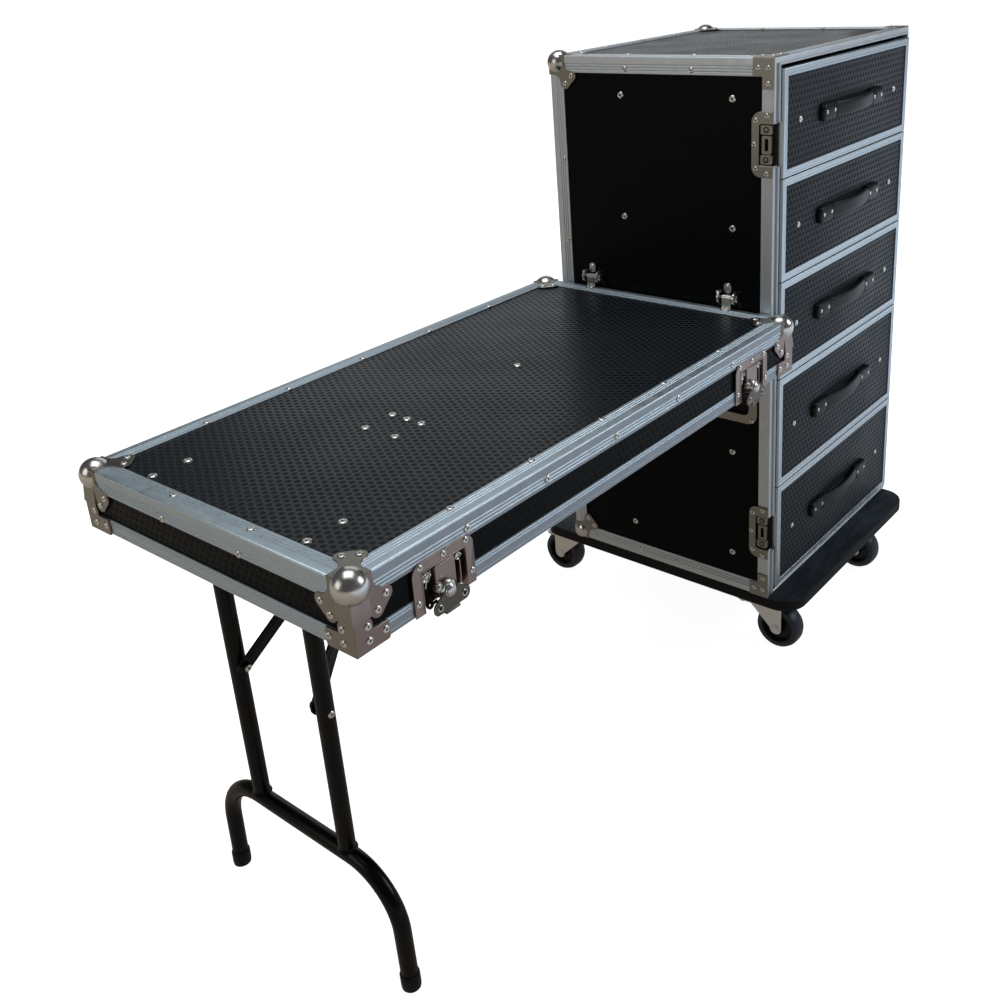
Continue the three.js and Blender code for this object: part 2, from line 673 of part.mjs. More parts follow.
function buildHandles() {
  const dish = handleDish();
  const swing = bail();
  addMesh('handle_dish_left', dish, 'platedSteel');
  addMesh('handle_dish_right', mirrorX(dish, CASE_WIDTH / 2), 'platedSteel');
  addMesh('handle_bail_left', swing, 'platedSteel', assembly, [BAIL_X, BAIL_Y, BAIL_Z]);
  const mirrored = mirrorX(swing, CASE_WIDTH / 2);
  addMesh('handle_bail_right', mirrored, 'platedSteel', assembly, [CASE_WIDTH - BAIL_X, BAIL_Y, BAIL_Z]);
}

// Brackets on the case side, with a pin that the lid's hooks hang on
const HOOK_PIN_X = -HOOK_PIN_OUT;
const HOOK_PIN_Z = LID_TOP + HOOK_PIN_ABOVE;
const HOOK_STRAP_REACH = HOOK_PIN_RADIUS + FIT_GAP + HOOK_STRAP_SHEET;
const HOOK_FOOT_X = HOOK_PIN_X - HOOK_STRAP_REACH - HOOK_STRAP_FOOT;

function hookBracket(y) {
  const face = PANEL_OUT - FIT_GAP;
  const sheetX = [face - HOOK_PLATE_SHEET, face];
  const top = HOOK_PIN_Z + HOOK_EAR_RADIUS;
  const plate = block(sheetX, [y - HOOK_PLATE_HALF, y + HOOK_PLATE_HALF], [top - HOOK_PLATE_DROP, top]);
  const ears = [-1, 1].map((side) => {
    const centre = y + side * (HOOK_EAR_HALF + HOOK_EAR_SHEET / 2);
    const range = [centre - HOOK_EAR_SHEET / 2, centre + HOOK_EAR_SHEET / 2];
    const outline = [
      [HOOK_PIN_Z - HOOK_EAR_RADIUS, sheetX[1]],
      ...arc([HOOK_PIN_Z, HOOK_PIN_X], HOOK_EAR_RADIUS, -Math.PI, 0, 8),
      [HOOK_PIN_Z + HOOK_EAR_RADIUS, sheetX[1]],
    ];
    return prism('y', outline, range[0], range[1]);
  });
  const pinEnd = HOOK_EAR_HALF + HOOK_EAR_SHEET / 2;
  const pin = bar('y', HOOK_PIN_RADIUS, [HOOK_PIN_Z, HOOK_PIN_X], y - pinEnd, y + pinEnd);
  return join([plate, ...ears, pin]);
}

function lidHook(y) {
  const inner = HOOK_PIN_RADIUS + FIT_GAP;
  const outer = HOOK_STRAP_REACH;
  const width = [y - HOOK_STRAP_HALF, y + HOOK_STRAP_HALF];
  const top = [HOOK_PIN_Z + inner, HOOK_PIN_Z + outer];
  const foot = LID_TOP + HOOK_STRAP_SHEET;
  return join([
    block([HOOK_PIN_X - outer, HOOK_PIN_X + outer], width, top),
    block([HOOK_PIN_X + inner, HOOK_PIN_X + outer], width, [HOOK_PIN_Z - HOOK_STRAP_TIP, top[1]]),
    block([HOOK_PIN_X - outer, HOOK_PIN_X - inner], width, [LID_TOP - EDGING_WALL / 2, top[1]]),
    block([HOOK_FOOT_X, HOOK_PIN_X - inner], width, [LID_TOP - EDGING_WALL / 2, foot]),
  ]);
}

function buildHooks() {
  for (const [name, y] of Object.entries(HOOK_PLACES)) {
    addMesh(`table_bracket_${name}`, hookBracket(y), 'platedSteel');
  }
}

// Drawer levels, lowest first, and where each one's runner lies
const DRAWER_X = [FRAME_FACE + DRAWER_SIDE_GAP, CASE_WIDTH - FRAME_FACE - DRAWER_SIDE_GAP];
const DRAWER_COUNT = DRAWER_HEIGHT_SHARES.length;
const DRAWER_STACK = [FRAME_FACE + DRAWER_BOTTOM_GAP, CASE_HEIGHT - FRAME_FACE - DRAWER_TOP_GAP];
const DRAWER_TOTAL = DRAWER_STACK[1] - DRAWER_STACK[0] - (DRAWER_COUNT - 1) * DRAWER_GAP;
const SHARE_TOTAL = DRAWER_HEIGHT_SHARES.reduce((sum, next) => sum + next);
const DRAWER_HEIGHTS = DRAWER_HEIGHT_SHARES.map((share) => DRAWER_TOTAL * share / SHARE_TOTAL);
const DRAWER_LEVELS = DRAWER_HEIGHTS.map((height, index) => {
  const below = DRAWER_HEIGHTS.slice(0, index).reduce((sum, next) => sum + next + DRAWER_GAP, 0);
  const bottom = DRAWER_STACK[0] + below;
  return { number: DRAWER_COUNT - index, z: [bottom, bottom + height] };
});
const RUNNER_OUT = PANEL_IN + FIT_GAP + BATTEN_THICKNESS + CHANNEL_WALL + FIT_GAP;

// Runner rack: two upright battens carrying one channel for each drawer
function runnerRack() {
  const battenX = [PANEL_IN + FIT_GAP, PANEL_IN + FIT_GAP + BATTEN_THICKNESS];
  const battenZ = [PANEL_IN + BATTEN_END_GAP, CASE_HEIGHT - PANEL_IN - BATTEN_END_GAP];
  const battens = BATTEN_PLACES.map((y) => {
    const width = [y - BATTEN_WIDTH / 2, y + BATTEN_WIDTH / 2];
    return block(battenX, width, battenZ);
  });
  const channels = DRAWER_LEVELS.map(({ z }) => {
    const level = z[0] + RUNNER_ABOVE_BOTTOM;
    const height = [level - CHANNEL_HALF_HEIGHT, level + CHANNEL_HALF_HEIGHT];
    const depth = [battenX[1] - CHANNEL_WALL / 2, battenX[1] + CHANNEL_DEPTH];
    const length = [CHANNEL_FRONT, CASE_DEPTH - CHANNEL_FROM_BACK];
    const groove = block(
      [battenX[1] + CHANNEL_WALL, depth[1] + CUT_OVERRUN],
      [length[0] - CUT_OVERRUN, length[1] + CUT_OVERRUN],
      [level - CHANNEL_GROOVE_HALF, level + CHANNEL_GROOVE_HALF],
    );
    return block(depth, length, height).subtract(groove);
  });
  return join([...battens, ...channels]);
}

function buildRunners() {
  const rack = runnerRack();
  addMesh('runner_rack_left', rack, 'runner');
  addMesh('runner_rack_right', mirrorX(rack, CASE_WIDTH / 2), 'runner');
}

// Drawer: an open box with its runners, a framed front and a strap handle
function drawerBox(z) {
  const x = [DRAWER_BOX_INSET, CASE_WIDTH - DRAWER_BOX_INSET];
  const y = [DRAWER_FRONT_BACK + FIT_GAP, CASE_DEPTH - DRAWER_BOX_FROM_BACK];
  const bottom = z[0] + DRAWER_BOX_BOTTOM_GAP;
  const height = [bottom, z[1] - DRAWER_BOX_TOP_GAP];
  const inside = block(
    insetRange(x, DRAWER_WALL),
    insetRange(y, DRAWER_WALL),
    [bottom + DRAWER_FLOOR, height[1] + CUT_OVERRUN],
  );
  const level = z[0] + RUNNER_ABOVE_BOTTOM;
  const runner = block(
    [RUNNER_OUT, DRAWER_BOX_INSET + RUNNER_OVERLAP],
    [CHANNEL_FRONT + RUNNER_OVERLAP, CASE_DEPTH - RUNNER_FROM_BACK],
    [level - RUNNER_HALF_HEIGHT, level + RUNNER_HALF_HEIGHT],
  );
  const box = block(x, y, height).subtract(inside);
  return join([box, runner, mirrorX(runner, CASE_WIDTH / 2)]);
}

function drawerFront(z) {
  const panelFace = -DRAWER_FRONT_PLANE + DRAWER_FRAME_RISE;
  const panel = block(DRAWER_X, [panelFace, DRAWER_FRONT_BACK], z);
  const frameY = [-DRAWER_FRONT_PLANE, DRAWER_FRONT_BACK];
  const opening = block(
    insetRange(DRAWER_X, DRAWER_FRAME_WIDTH),
    [frameY[0] - CUT_OVERRUN, frameY[1] + CUT_OVERRUN],
    insetRange(z, DRAWER_FRAME_WIDTH),
  );
  return panel.add(block(DRAWER_X, frameY, z).subtract(opening));
}

function drawerHandle(level) {
  const seat = -DRAWER_FRONT_PLANE + DRAWER_FRAME_RISE - FIT_GAP;
  const centreX = CASE_WIDTH / 2;
  const capEnd = HANDLE_LENGTH / 2;
  const radius = HANDLE_CAP_HALF_HEIGHT;
  const capHeight = [level - radius, level + radius];
  const cap = prism('y',
    roundedOutline(
      capHeight,
      [centreX - capEnd, centreX - capEnd + HANDLE_CAP_LENGTH],
      [radius / 2, radius / 2, 0, 0],
      3,
    ),
    seat - HANDLE_CAP_DEPTH, seat);
  const gripEnd = capEnd - HANDLE_CAP_LENGTH + HANDLE_GRIP_OVERLAP;
  const gripBack = seat - HANDLE_CAP_DEPTH / 2 + HANDLE_GRIP_THICKNESS / 2;
  const bowed = (offset) => {
    const points = [];
    for (let step = 0; step <= HANDLE_ARC_STEPS; step += 1) {
      const share = step / HANDLE_ARC_STEPS * 2 - 1;
      const bow = HANDLE_BOW * Math.cos(share * Math.PI / 2);
      points.push([centreX + share * gripEnd, gripBack - bow - offset]);
    }
    return points;
  };
  const outline = [...bowed(HANDLE_GRIP_THICKNESS), ...bowed(0).reverse()];
  const grip = prism('z', outline, level - HANDLE_GRIP_HALF_HEIGHT, level + HANDLE_GRIP_HALF_HEIGHT);
  return join([cap, mirrorX(cap, centreX), grip]);
}

function buildDrawers() {
  for (const { number, z } of DRAWER_LEVELS) {
    const drawer = new THREE.Group();
    drawer.position.set(0, 0, z[0]);
    assembly.add(drawer);
    const local = [0, z[1] - z[0]];
    addMesh(`drawer_${number}_box`, drawerBox(local), 'plywood', drawer);
    addMesh(`drawer_${number}_front`, drawerFront(local), 'drawerLaminate', drawer);
    addMesh(`drawer_${number}_handle`, drawerHandle(local[1] / 2), 'plastic', drawer);
  }
}

// Box ring in the XY plane between two insets of the lid outline
function lidRing(outer, inner, z) {
  const outside = block([LID_X0 + outer, LID_X1 - outer], [LID_Y0 + outer, LID_Y1 - outer], z);
  const through = [z[0] - CUT_OVERRUN, z[1] + CUT_OVERRUN];
  const opening = block([LID_X0 + inner, LID_X1 - inner], [LID_Y0 + inner, LID_Y1 - inner], through);
  return outside.subtract(opening);
}

// The same piece at the lid's four corners, made for the corner at low x and low y
function atLidCorners(solid) {
  const pair = [solid, mirrorX(solid, LID_CENTRE_X)];
  return [...pair, ...pair.map((piece) => mirrorY(piece, CENTRE_Y))];
}

function lidTray() {
  const outside = block(
    [LID_X0 + PANEL_OUT, LID_X1 - PANEL_OUT],
    [LID_Y0 + PANEL_OUT, LID_Y1 - PANEL_OUT],
    [LID_BOTTOM + PANEL_OUT, LID_TOP - PANEL_OUT],
  );
  const inside = block(
    [LID_X0 + PANEL_IN, LID_X1 - PANEL_IN],
    [LID_Y0 + PANEL_IN, LID_Y1 - PANEL_IN],
    [LID_BOTTOM - CUT_OVERRUN, LID_CEILING],
  );
  return join([cut(outside.subtract(inside), latchOpenings()), tableField(), linkBracket()]);
}

// Free field of the table's top, clear of the edging, the corner plates and the hooks' feet
function tableField() {
  const level = LID_TOP - EDGING_WALL;
  const margin = EDGING_LEG + FIT_GAP;
  const height = [LID_CEILING + PANEL_THICKNESS / 2, level];
  const field = block([LID_X0 + margin, LID_X1 - margin], [LID_Y0 + margin, LID_Y1 - margin], height);
  const corner = BALL_LOBE_FAR + BALL_LOBE_RADIUS + FIT_GAP;
  const over = [LID_TOP - PANEL_OUT, LID_TOP + CUT_OVERRUN];
  const corners = atLidCorners(block([LID_X0, LID_X0 + corner], [LID_Y0, LID_Y0 + corner], over));
  const hooks = Object.values(HOOK_PLACES).map((y) => {
    const reach = HOOK_STRAP_HALF + FIT_GAP;
    return block([HOOK_FOOT_X - FIT_GAP, LID_X1], [y - reach, y + reach], over);
  });
  return cut(field, [...corners, ...hooks]);
}

// Bracket of the brace's link under the lid's top: a plate, two lugs and a pin
function linkBracket() {
  const rootZ = LID_CEILING + PANEL_THICKNESS / 2;
  const plateZ = [LID_CEILING - LINK_PLATE_SHEET, rootZ];
  const halfX = LINK_PLATE_LENGTH / 2;
  const halfY = LINK_PLATE_WIDTH / 2;
  const plate = block([LINK_X - halfX, LINK_X + halfX], [CENTRE_Y - halfY, CENTRE_Y + halfY], plateZ);
  const inner = LINK_SHEET / 2 + LINK_LUG_GAP;
  const outer = inner + LINK_LUG_SHEET;
  const lugs = [-1, 1].map((side) => {
    const y = [CENTRE_Y + side * inner, CENTRE_Y + side * outer].sort((a, b) => a - b);
    const foot = block([LINK_X - LINK_LUG_HALF, LINK_X + LINK_LUG_HALF], y, [PIVOT_Z, rootZ]);
    return foot.add(bar('y', LINK_LUG_HALF, [PIVOT_Z, LINK_X], y[0], y[1]));
  });
  const pin = bar('y', BRACE_PIN_RADIUS, [PIVOT_Z, LINK_X], CENTRE_Y - outer, CENTRE_Y + outer);
  return join([plate, ...lugs, pin]);
}

function lidEdging() {
  const topRing = lidRing(0, EDGING_LEG, [LID_TOP - EDGING_WALL, LID_TOP]);
  const sideRing = lidRing(0, EDGING_WALL, [LID_TOP - EDGING_LEG, LID_TOP]);
  const upright = [LID_BOTTOM + RIM_HEIGHT + FIT_GAP, LID_TOP];
  const corner = join([
    block([LID_X0, LID_X0 + EDGING_LEG], [LID_Y0, LID_Y0 + EDGING_WALL], upright),
    block([LID_X0, LID_X0 + EDGING_WALL], [LID_Y0, LID_Y0 + EDGING_LEG], upright),
  ]);
  const ball = moved(ballCorner(), LID_X0, LID_Y0, LID_TOP);
  const pieces = [...atLidCorners(corner), ...atLidCorners(ball)];
  const hooks = Object.values(HOOK_PLACES).map(lidHook);
  return join([topRing, sideRing, ...pieces, ...hooks]);
}

function lidRim() {
  const flange = lidRing(0, EDGING_WALL, [LID_BOTTOM, LID_BOTTOM + RIM_HEIGHT]);
  const face = lidRing(0, RIM_FACE, [LID_BOTTOM, LID_BOTTOM + EDGING_WALL]);
  const innerStart = PANEL_IN + FIT_GAP;
  const innerZ = [LID_BOTTOM, LID_BOTTOM + RIM_INNER_HEIGHT];
  const inner = lidRing(innerStart, innerStart + RIM_INNER_WALL, innerZ);
  const plateZ = [LID_BOTTOM, LID_BOTTOM + RIM_HEIGHT];
  const outX = LID_X0 - BRACE_PLATE_RISE;
  const outY = LID_Y0 - BRACE_PLATE_RISE;
  const plate = join([
    block([outX, LID_X0 + BRACE_PLATE_LENGTH], [outY, LID_Y0 + EDGING_WALL / 2], plateZ),
    block([outX, LID_X0 + EDGING_WALL / 2], [outY, LID_Y0 + BRACE_PLATE_LENGTH], plateZ),
  ]);
  return join([cut(join([flange, face, inner]), latchOpenings()), ...atLidCorners(plate)]);
}

// Latches: a dish in the lid's long side, open at the bottom, and a wing that turns on its boss
const LATCH_PLACES = { outer: LID_CENTRE_X - CATCH_OFFSET, inner: LID_CENTRE_X + CATCH_OFFSET };
const LATCH_PLATE_TOP = LID_TOP - LATCH_TOP_GAP;
const LATCH_PAN_DEPTH = PANEL_IN - FIT_GAP;
const LATCH_AXIS_Z = LID_BOTTOM + LATCH_BOSS_HEIGHT;

function latchOpenings() {
  const half = LATCH_PAN_HALF + FIT_GAP;
  const front = Object.values(LATCH_PLACES).map((x) => block(
    [x - half, x + half],
    [LID_Y0 - CUT_OVERRUN, LID_Y0 + LATCH_PAN_DEPTH + FIT_GAP],
    [LID_BOTTOM - CUT_OVERRUN, LID_BOTTOM + LATCH_PAN_TOP + FIT_GAP],
  ));
  return [...front, ...front.map((opening) => mirrorY(opening, CENTRE_Y))];
}

function latchDish(x) {
  const face = LID_Y0 - FIT_GAP;
  const range = [x - LATCH_HALF_LENGTH, x + LATCH_HALF_LENGTH];
  const radii = [0, LATCH_CORNER, LATCH_CORNER, 0];
  const outline = roundedOutline([LID_BOTTOM, LATCH_PLATE_TOP], range, radii, 4);
  const sheet = prism('y', outline, face - LATCH_SHEET, face);
  const floor = LID_Y0 + LATCH_PAN_DEPTH;
  const panX = [x - LATCH_PAN_HALF, x + LATCH_PAN_HALF];
  const panTop = LID_BOTTOM + LATCH_PAN_TOP;
  const shell = block(panX, [face - LATCH_SHEET / 2, floor], [LID_BOTTOM, panTop]);
  const pocket = block(
    insetRange(panX, LATCH_PAN_WALL),
    [face - LATCH_SHEET - CUT_OVERRUN, floor - LATCH_PAN_WALL],
    [LID_BOTTOM - CUT_OVERRUN, panTop - LATCH_PAN_WALL],
  );
  return sheet.add(shell).subtract(pocket);
}

function latchWing(x) {
  const floor = LID_Y0 + LATCH_PAN_DEPTH - LATCH_PAN_WALL - FIT_GAP;
  const top = LID_Y0 - FIT_GAP;
  const plateY = [top - LATCH_WING_THICKNESS + LATCH_WING_LIFT, top + LATCH_WING_LIFT];
  const shaft = bar('y', LATCH_SHAFT_RADIUS, [LATCH_AXIS_Z, x], plateY[0], floor);
  const bossFrom = plateY[0] - LATCH_BOSS_THICKNESS / 2;
  const boss = bar('y', LATCH_BOSS_RADIUS, [LATCH_AXIS_Z, x], bossFrom, floor - LATCH_BOSS_THICKNESS);
  const lobes = [-1, 1].map((side) => {
    const width = LATCH_WING_WIDTH / 2;
    const tip = x + side * (LATCH_WING_HALF - width);
    const outline = linkOutline([LATCH_AXIS_Z, x], [LATCH_AXIS_Z - LATCH_WING_DROP, tip], width, 6);
    return prism('y', outline, plateY[0], plateY[1]);
  });
  const web = block(
    [x - LATCH_WEB_HALF, x + LATCH_WEB_HALF],
    plateY,
    [LATCH_AXIS_Z - LATCH_WEB_DROP, LATCH_AXIS_Z],
  );
  return join([shaft, boss, web, ...lobes]);
}

function buildLid() {
  addMesh('lid_tray', lidTray(), 'laminate');
  addMesh('lid_edging', lidEdging(), 'aluminium');
  addMesh('lid_rim', lidRim(), 'aluminium');
  for (const [name, x] of Object.entries(LATCH_PLACES)) {
    const dish = latchDish(x);
    const wing = latchWing(x);
    const axis = [x, LID_Y0, LATCH_AXIS_Z];
    const rearAxis = [x, LID_Y1, LATCH_AXIS_Z];
    addMesh(`latch_dish_front_${name}`, dish, 'platedSteel');
    addMesh(`latch_dish_rear_${name}`, mirrorY(dish, CENTRE_Y), 'platedSteel');
    addMesh(`latch_wing_front_${name}`, wing, 'platedSteel', assembly, axis);
    addMesh(`latch_wing_rear_${name}`, mirrorY(wing, CENTRE_Y), 'platedSteel', assembly, rearAxis);
  }
}

// Tube swept along a curve, closed at both ends
function sweptTube(curve, radius, steps) {
  const section = new THREE.Shape(
    arc([0, 0], radius, 0, Math.PI * 2, LEG_TUBE_SIDES).slice(1).map(([u, v]) => new THREE.Vector2(u, v)),
  );
  return toSolid(new THREE.ExtrudeGeometry(section, { steps, extrudePath: curve, bevelEnabled: false }));
}

// Straight round bar between two points
function rod(start, end, radius, segments) {
  const from = new THREE.Vector3(...start);
  const along = new THREE.Vector3(...end).sub(from);
  const geometry = new THREE.CylinderGeometry(radius, radius, along.length(), segments);
  geometry.translate(0, along.length() / 2, 0);
  const turn = new THREE.Quaternion();
  turn.setFromUnitVectors(new THREE.Vector3(0, 1, 0), along.clone().normalize());
  geometry.applyQuaternion(turn);
  geometry.translate(from.x, from.y, from.z);
  return toSolid(geometry);
}

function legFrame() {
  const bendZ = LEG_BAR_HEIGHT - LEG_BEND_RADIUS;
  const bendY = LEG_BEND_HALF + LEG_BEND_RADIUS;
  const path = new THREE.CurvePath();
  const shin = new THREE.LineCurve3(
    new THREE.Vector3(LEG_X, CENTRE_Y - LEG_FOOT_HALF, FLOOR),
    new THREE.Vector3(LEG_X, CENTRE_Y - bendY, bendZ),
  );
  const corner = [];
  for (const [y, z] of arc([CENTRE_Y - LEG_BEND_HALF, bendZ], LEG_BEND_RADIUS, Math.PI, Math.PI / 2, 8)) {
    corner.push(new THREE.Vector3(LEG_X, y, z));
  }
  path.add(shin);
  for (let at = 1; at < corner.length; at += 1) {
    path.add(new THREE.LineCurve3(corner[at - 1], corner[at]));
  }
  const barEnd = new THREE.Vector3(LEG_X, CENTRE_Y + LEG_MIDDLE_OVERLAP, LEG_BAR_HEIGHT);
  path.add(new THREE.LineCurve3(corner[corner.length - 1], barEnd));
  const half = sweptTube(path, LEG_TUBE_RADIUS, LEG_SWEEP_STEPS);
  const capTop = FLOOR + FOOT_CAP_HEIGHT;
  const lean = (bendY - LEG_FOOT_HALF) * FOOT_CAP_HEIGHT / (bendZ - FLOOR);
  const cap = rod(
    [LEG_X, CENTRE_Y - LEG_FOOT_HALF, FLOOR],
    [LEG_X, CENTRE_Y - LEG_FOOT_HALF - lean, capTop],
    LEG_TUBE_RADIUS + FOOT_CAP_RISE,
    LEG_TUBE_SIDES,
  );
  const axleY = [CENTRE_Y - LEG_AXLE_HALF, CENTRE_Y + LEG_AXLE_HALF];
  const axle = bar('y', LEG_TUBE_RADIUS, [PIVOT_Z, LEG_X], axleY[0], axleY[1]);
  const sideOne = join([half, cap]);
  const uprights = [-1, 1].map((side) => rod(
    [LEG_X, CENTRE_Y + side * LEG_UPRIGHT_HALF, PIVOT_Z],
    [LEG_X, CENTRE_Y + side * LEG_UPRIGHT_HALF, LEG_BAR_HEIGHT],
    LEG_TUBE_RADIUS,
    LEG_TUBE_SIDES,
  ));
  const pins = [-1, 1].map((side) => {
    const root = CENTRE_Y + side * LEG_UPRIGHT_HALF;
    const end = CENTRE_Y + side * BRACE_PIN_END_HALF;
    const headEnd = end - side * BRACE_HEAD_LENGTH;
    const axis = [ARM_PIN_Z, LEG_X];
    const stem = bar('y', BRACE_PIN_RADIUS, axis, Math.min(root, end), Math.max(root, end));
    const head = bar('y', BRACE_HEAD_RADIUS, axis, Math.min(end, headEnd), Math.max(end, headEnd));
    return stem.add(head);
  });
  const below = block(
    [LEG_X - EDGING_LEG, LEG_X + EDGING_LEG],
    [LID_Y0, LID_Y1],
    [FLOOR - EDGING_LEG, FLOOR],
  );
  return join([axle, sideOne, mirrorY(sideOne, CENTRE_Y), ...uprights, ...pins]).subtract(below);
}

function pivotBracket(y) {
  const radius = LEG_TUBE_RADIUS + RUN_CLEARANCE;
  const saddle = radius + PIVOT_SADDLE_WALL;
  const face = LID_CEILING - FIT_GAP;
  const range = [y - PIVOT_SADDLE_HALF, y + PIVOT_SADDLE_HALF];
  const plate = block(
    [LEG_X - PIVOT_PLATE_HALF, LEG_X + PIVOT_PLATE_HALF],
    [y - PIVOT_PLATE_HALF, y + PIVOT_PLATE_HALF],
    [face - PIVOT_PLATE_SHEET, face],
  );
  const ring = bar('y', saddle, [PIVOT_Z, LEG_X], range[0], range[1]);
  const neck = block([LEG_X - saddle, LEG_X + saddle], range, [PIVOT_Z, face]);
  const past = PIVOT_PLATE_HALF + CUT_OVERRUN;
  const bore = bar('y', radius, [PIVOT_Z, LEG_X], y - past, y + past, FINE_SEGMENTS);
  const above = block(
    [LEG_X - PIVOT_PLATE_HALF, LEG_X + PIVOT_PLATE_HALF],
    [y - PIVOT_PLATE_HALF, y + PIVOT_PLATE_HALF],
    [face, LID_TOP],
  );
  return cut(join([plate, ring, neck]), [bore, above]);
}

// Brace arm: a flat bar from the leg's pin up to the elbow, leaning towards the middle
function braceArm(side) {
  const start = new THREE.Vector3(LEG_X, CENTRE_Y + side * BRACE_WIDE_HALF, ARM_PIN_Z);
  const end = new THREE.Vector3(ELBOW_X, CENTRE_Y + side * BRACE_NARROW_HALF, ELBOW_Z);
  const length = Math.hypot(end.x - start.x, end.z - start.z);
  const half = BRACE_BAR_WIDTH / 2;
  const outline = linkOutline([0, 0], [0, length], half, 6);
  const hole = BRACE_PIN_RADIUS + BRACE_EYE_CLEARANCE;
  const sheet = [-BRACE_BAR_SHEET / 2, BRACE_BAR_SHEET / 2];
  const flat = prism('y', outline, sheet[0], sheet[1]);
  const eye = bar('y', hole, [0, 0], sheet[0] - CUT_OVERRUN, sheet[1] + CUT_OVERRUN);
  const geometry = toGeometry(flat.subtract(eye));
  // The bar lies along X first. A shear moves each point in Y by its share of the length.
  const slope = (end.y - start.y) / length;
  const shear = new THREE.Matrix4().set(1, 0, 0, 0, slope, 1, 0, 0, 0, 0, 1, 0, 0, 0, 0, 1);
  geometry.applyMatrix4(shear);
  geometry.rotateY(-Math.atan2(end.z - start.z, end.x - start.x));
  geometry.translate(start.x, start.y, start.z);
  return toSolid(geometry);
}

// Upper link: a flat bar from the lid's bracket down to the elbow, with a cross bar at its end
function upperLink() {
  const sheet = [CENTRE_Y - LINK_SHEET / 2, CENTRE_Y + LINK_SHEET / 2];
  const outline = linkOutline([PIVOT_Z, LINK_X], [ELBOW_Z, ELBOW_X], BRACE_BAR_WIDTH / 2, 6);
  const hole = BRACE_PIN_RADIUS + BRACE_EYE_CLEARANCE / 2;
  const eye = bar('y', hole, [PIVOT_Z, LINK_X], sheet[0] - CUT_OVERRUN, sheet[1] + CUT_OVERRUN);
  const flat = prism('y', outline, sheet[0], sheet[1]).subtract(eye);
  const teeY = [CENTRE_Y - LINK_TEE_HALF, CENTRE_Y + LINK_TEE_HALF];
  const tee = bar('y', BRACE_PIN_RADIUS, [ELBOW_Z, ELBOW_X], teeY[0], teeY[1]);
  return flat.add(tee);
}

function buildLeg() {
  const pivot = [LEG_X, CENTRE_Y, PIVOT_Z];
  addMesh('leg_frame', legFrame(), 'blackSteel', assembly, pivot);
  addMesh('leg_bracket_front', pivotBracket(CENTRE_Y - PIVOT_HALF_SPACING), 'blackSteel');
  addMesh('leg_bracket_rear', pivotBracket(CENTRE_Y + PIVOT_HALF_SPACING), 'blackSteel');
  const sides = { front: -1, rear: 1 };
  for (const [name, side] of Object.entries(sides)) {
    const place = [LEG_X, CENTRE_Y + side * BRACE_WIDE_HALF, ARM_PIN_Z];
    addMesh(`brace_arm_${name}`, braceArm(side), 'blackSteel', assembly, place);
  }
  addMesh('brace_link', upperLink(), 'blackSteel', assembly, [LINK_X, CENTRE_Y, PIVOT_Z]);
}

// Caster board: a round-cornered board with four swivel plates under it
const CASTER_PLATE_TOP = -BOARD_THICKNESS;
const RACE_BOTTOM = CASTER_PLATE_TOP - CASTER_PLATE_SHEET - CASTER_RACE_HEIGHT;
const AXLE_Z = FLOOR + WHEEL_RADIUS;

function casterBoard() {
  const radii = [BOARD_CORNER, BOARD_CORNER, BOARD_CORNER, BOARD_CORNER];
  const range = [-BOARD_FRONT, CASE_DEPTH + BOARD_BACK];
  const outline = roundedOutline([0, CASE_WIDTH], range, radii, BOARD_CORNER_STEPS);
  const board = prism('z', outline, -BOARD_THICKNESS, -FIT_GAP);
  const seats = [];
  const bores = [];
  for (const x of CASTER_PLACES_X) {
    for (const y of CASTER_PLACES_Y) {
      const halfX = CASTER_PLATE_LENGTH / 2;
      const halfY = CASTER_PLATE_WIDTH / 2;
      const sheetZ = [CASTER_PLATE_TOP - CASTER_PLATE_SHEET, CASTER_PLATE_TOP + FIT_GAP];
      seats.push(block([x - halfX, x + halfX], [y - halfY, y + halfY], sheetZ));
      seats.push(bar('z', CASTER_RACE_RADIUS, [x, y], RACE_BOTTOM, sheetZ[1], FINE_SEGMENTS));
      const depth = RACE_BOTTOM + CASTER_STUD_LENGTH + RUN_CLEARANCE;
      bores.push(bar('z', CASTER_STUD_RADIUS + RUN_CLEARANCE, [x, y], RACE_BOTTOM - CUT_OVERRUN, depth));
    }
  }
  return cut(join([board, ...seats]), bores);
}

function casterFork(x, y, trail) {
  const top = RACE_BOTTOM - FIT_GAP;
  const crown = [top - FORK_SHEET, top];
  const inner = WHEEL_WIDTH / 2 + FORK_SIDE_GAP;
  const outer = inner + FORK_SHEET;
  const disc = bar('z', FORK_HALF_LENGTH, [x, y], crown[0], crown[1], FINE_SEGMENTS);
  const stud = bar('z', CASTER_STUD_RADIUS, [x, y], crown[0], top + CASTER_STUD_LENGTH);
  const way = Math.sign(trail);
  const axleY = y + trail;
  const outline = [
    [y - way * FORK_HALF_LENGTH, crown[0]],
    ...arc([axleY, AXLE_Z], FORK_EYE_RADIUS, way > 0 ? Math.PI : 0, way > 0 ? Math.PI * 2 : -Math.PI, 8),
    [axleY + way * FORK_EYE_RADIUS, crown[0]],
  ];
  const sides = [-1, 1].map((side) => {
    const range = [x + side * inner, x + side * outer].sort((a, b) => a - b);
    return prism('x', outline, range[0], range[1]);
  });
  const crownEnds = [y - way * FORK_HALF_LENGTH, axleY + way * FORK_EYE_RADIUS].sort((a, b) => a - b);
  const bridge = block([x - outer, x + outer], crownEnds, crown);
  const axleEnd = outer + FORK_AXLE_OUT;
  const axle = bar('x', AXLE_RADIUS, [axleY, AXLE_Z], x - axleEnd, x + axleEnd);
  return join([disc, stud, bridge, ...sides, axle]);
}

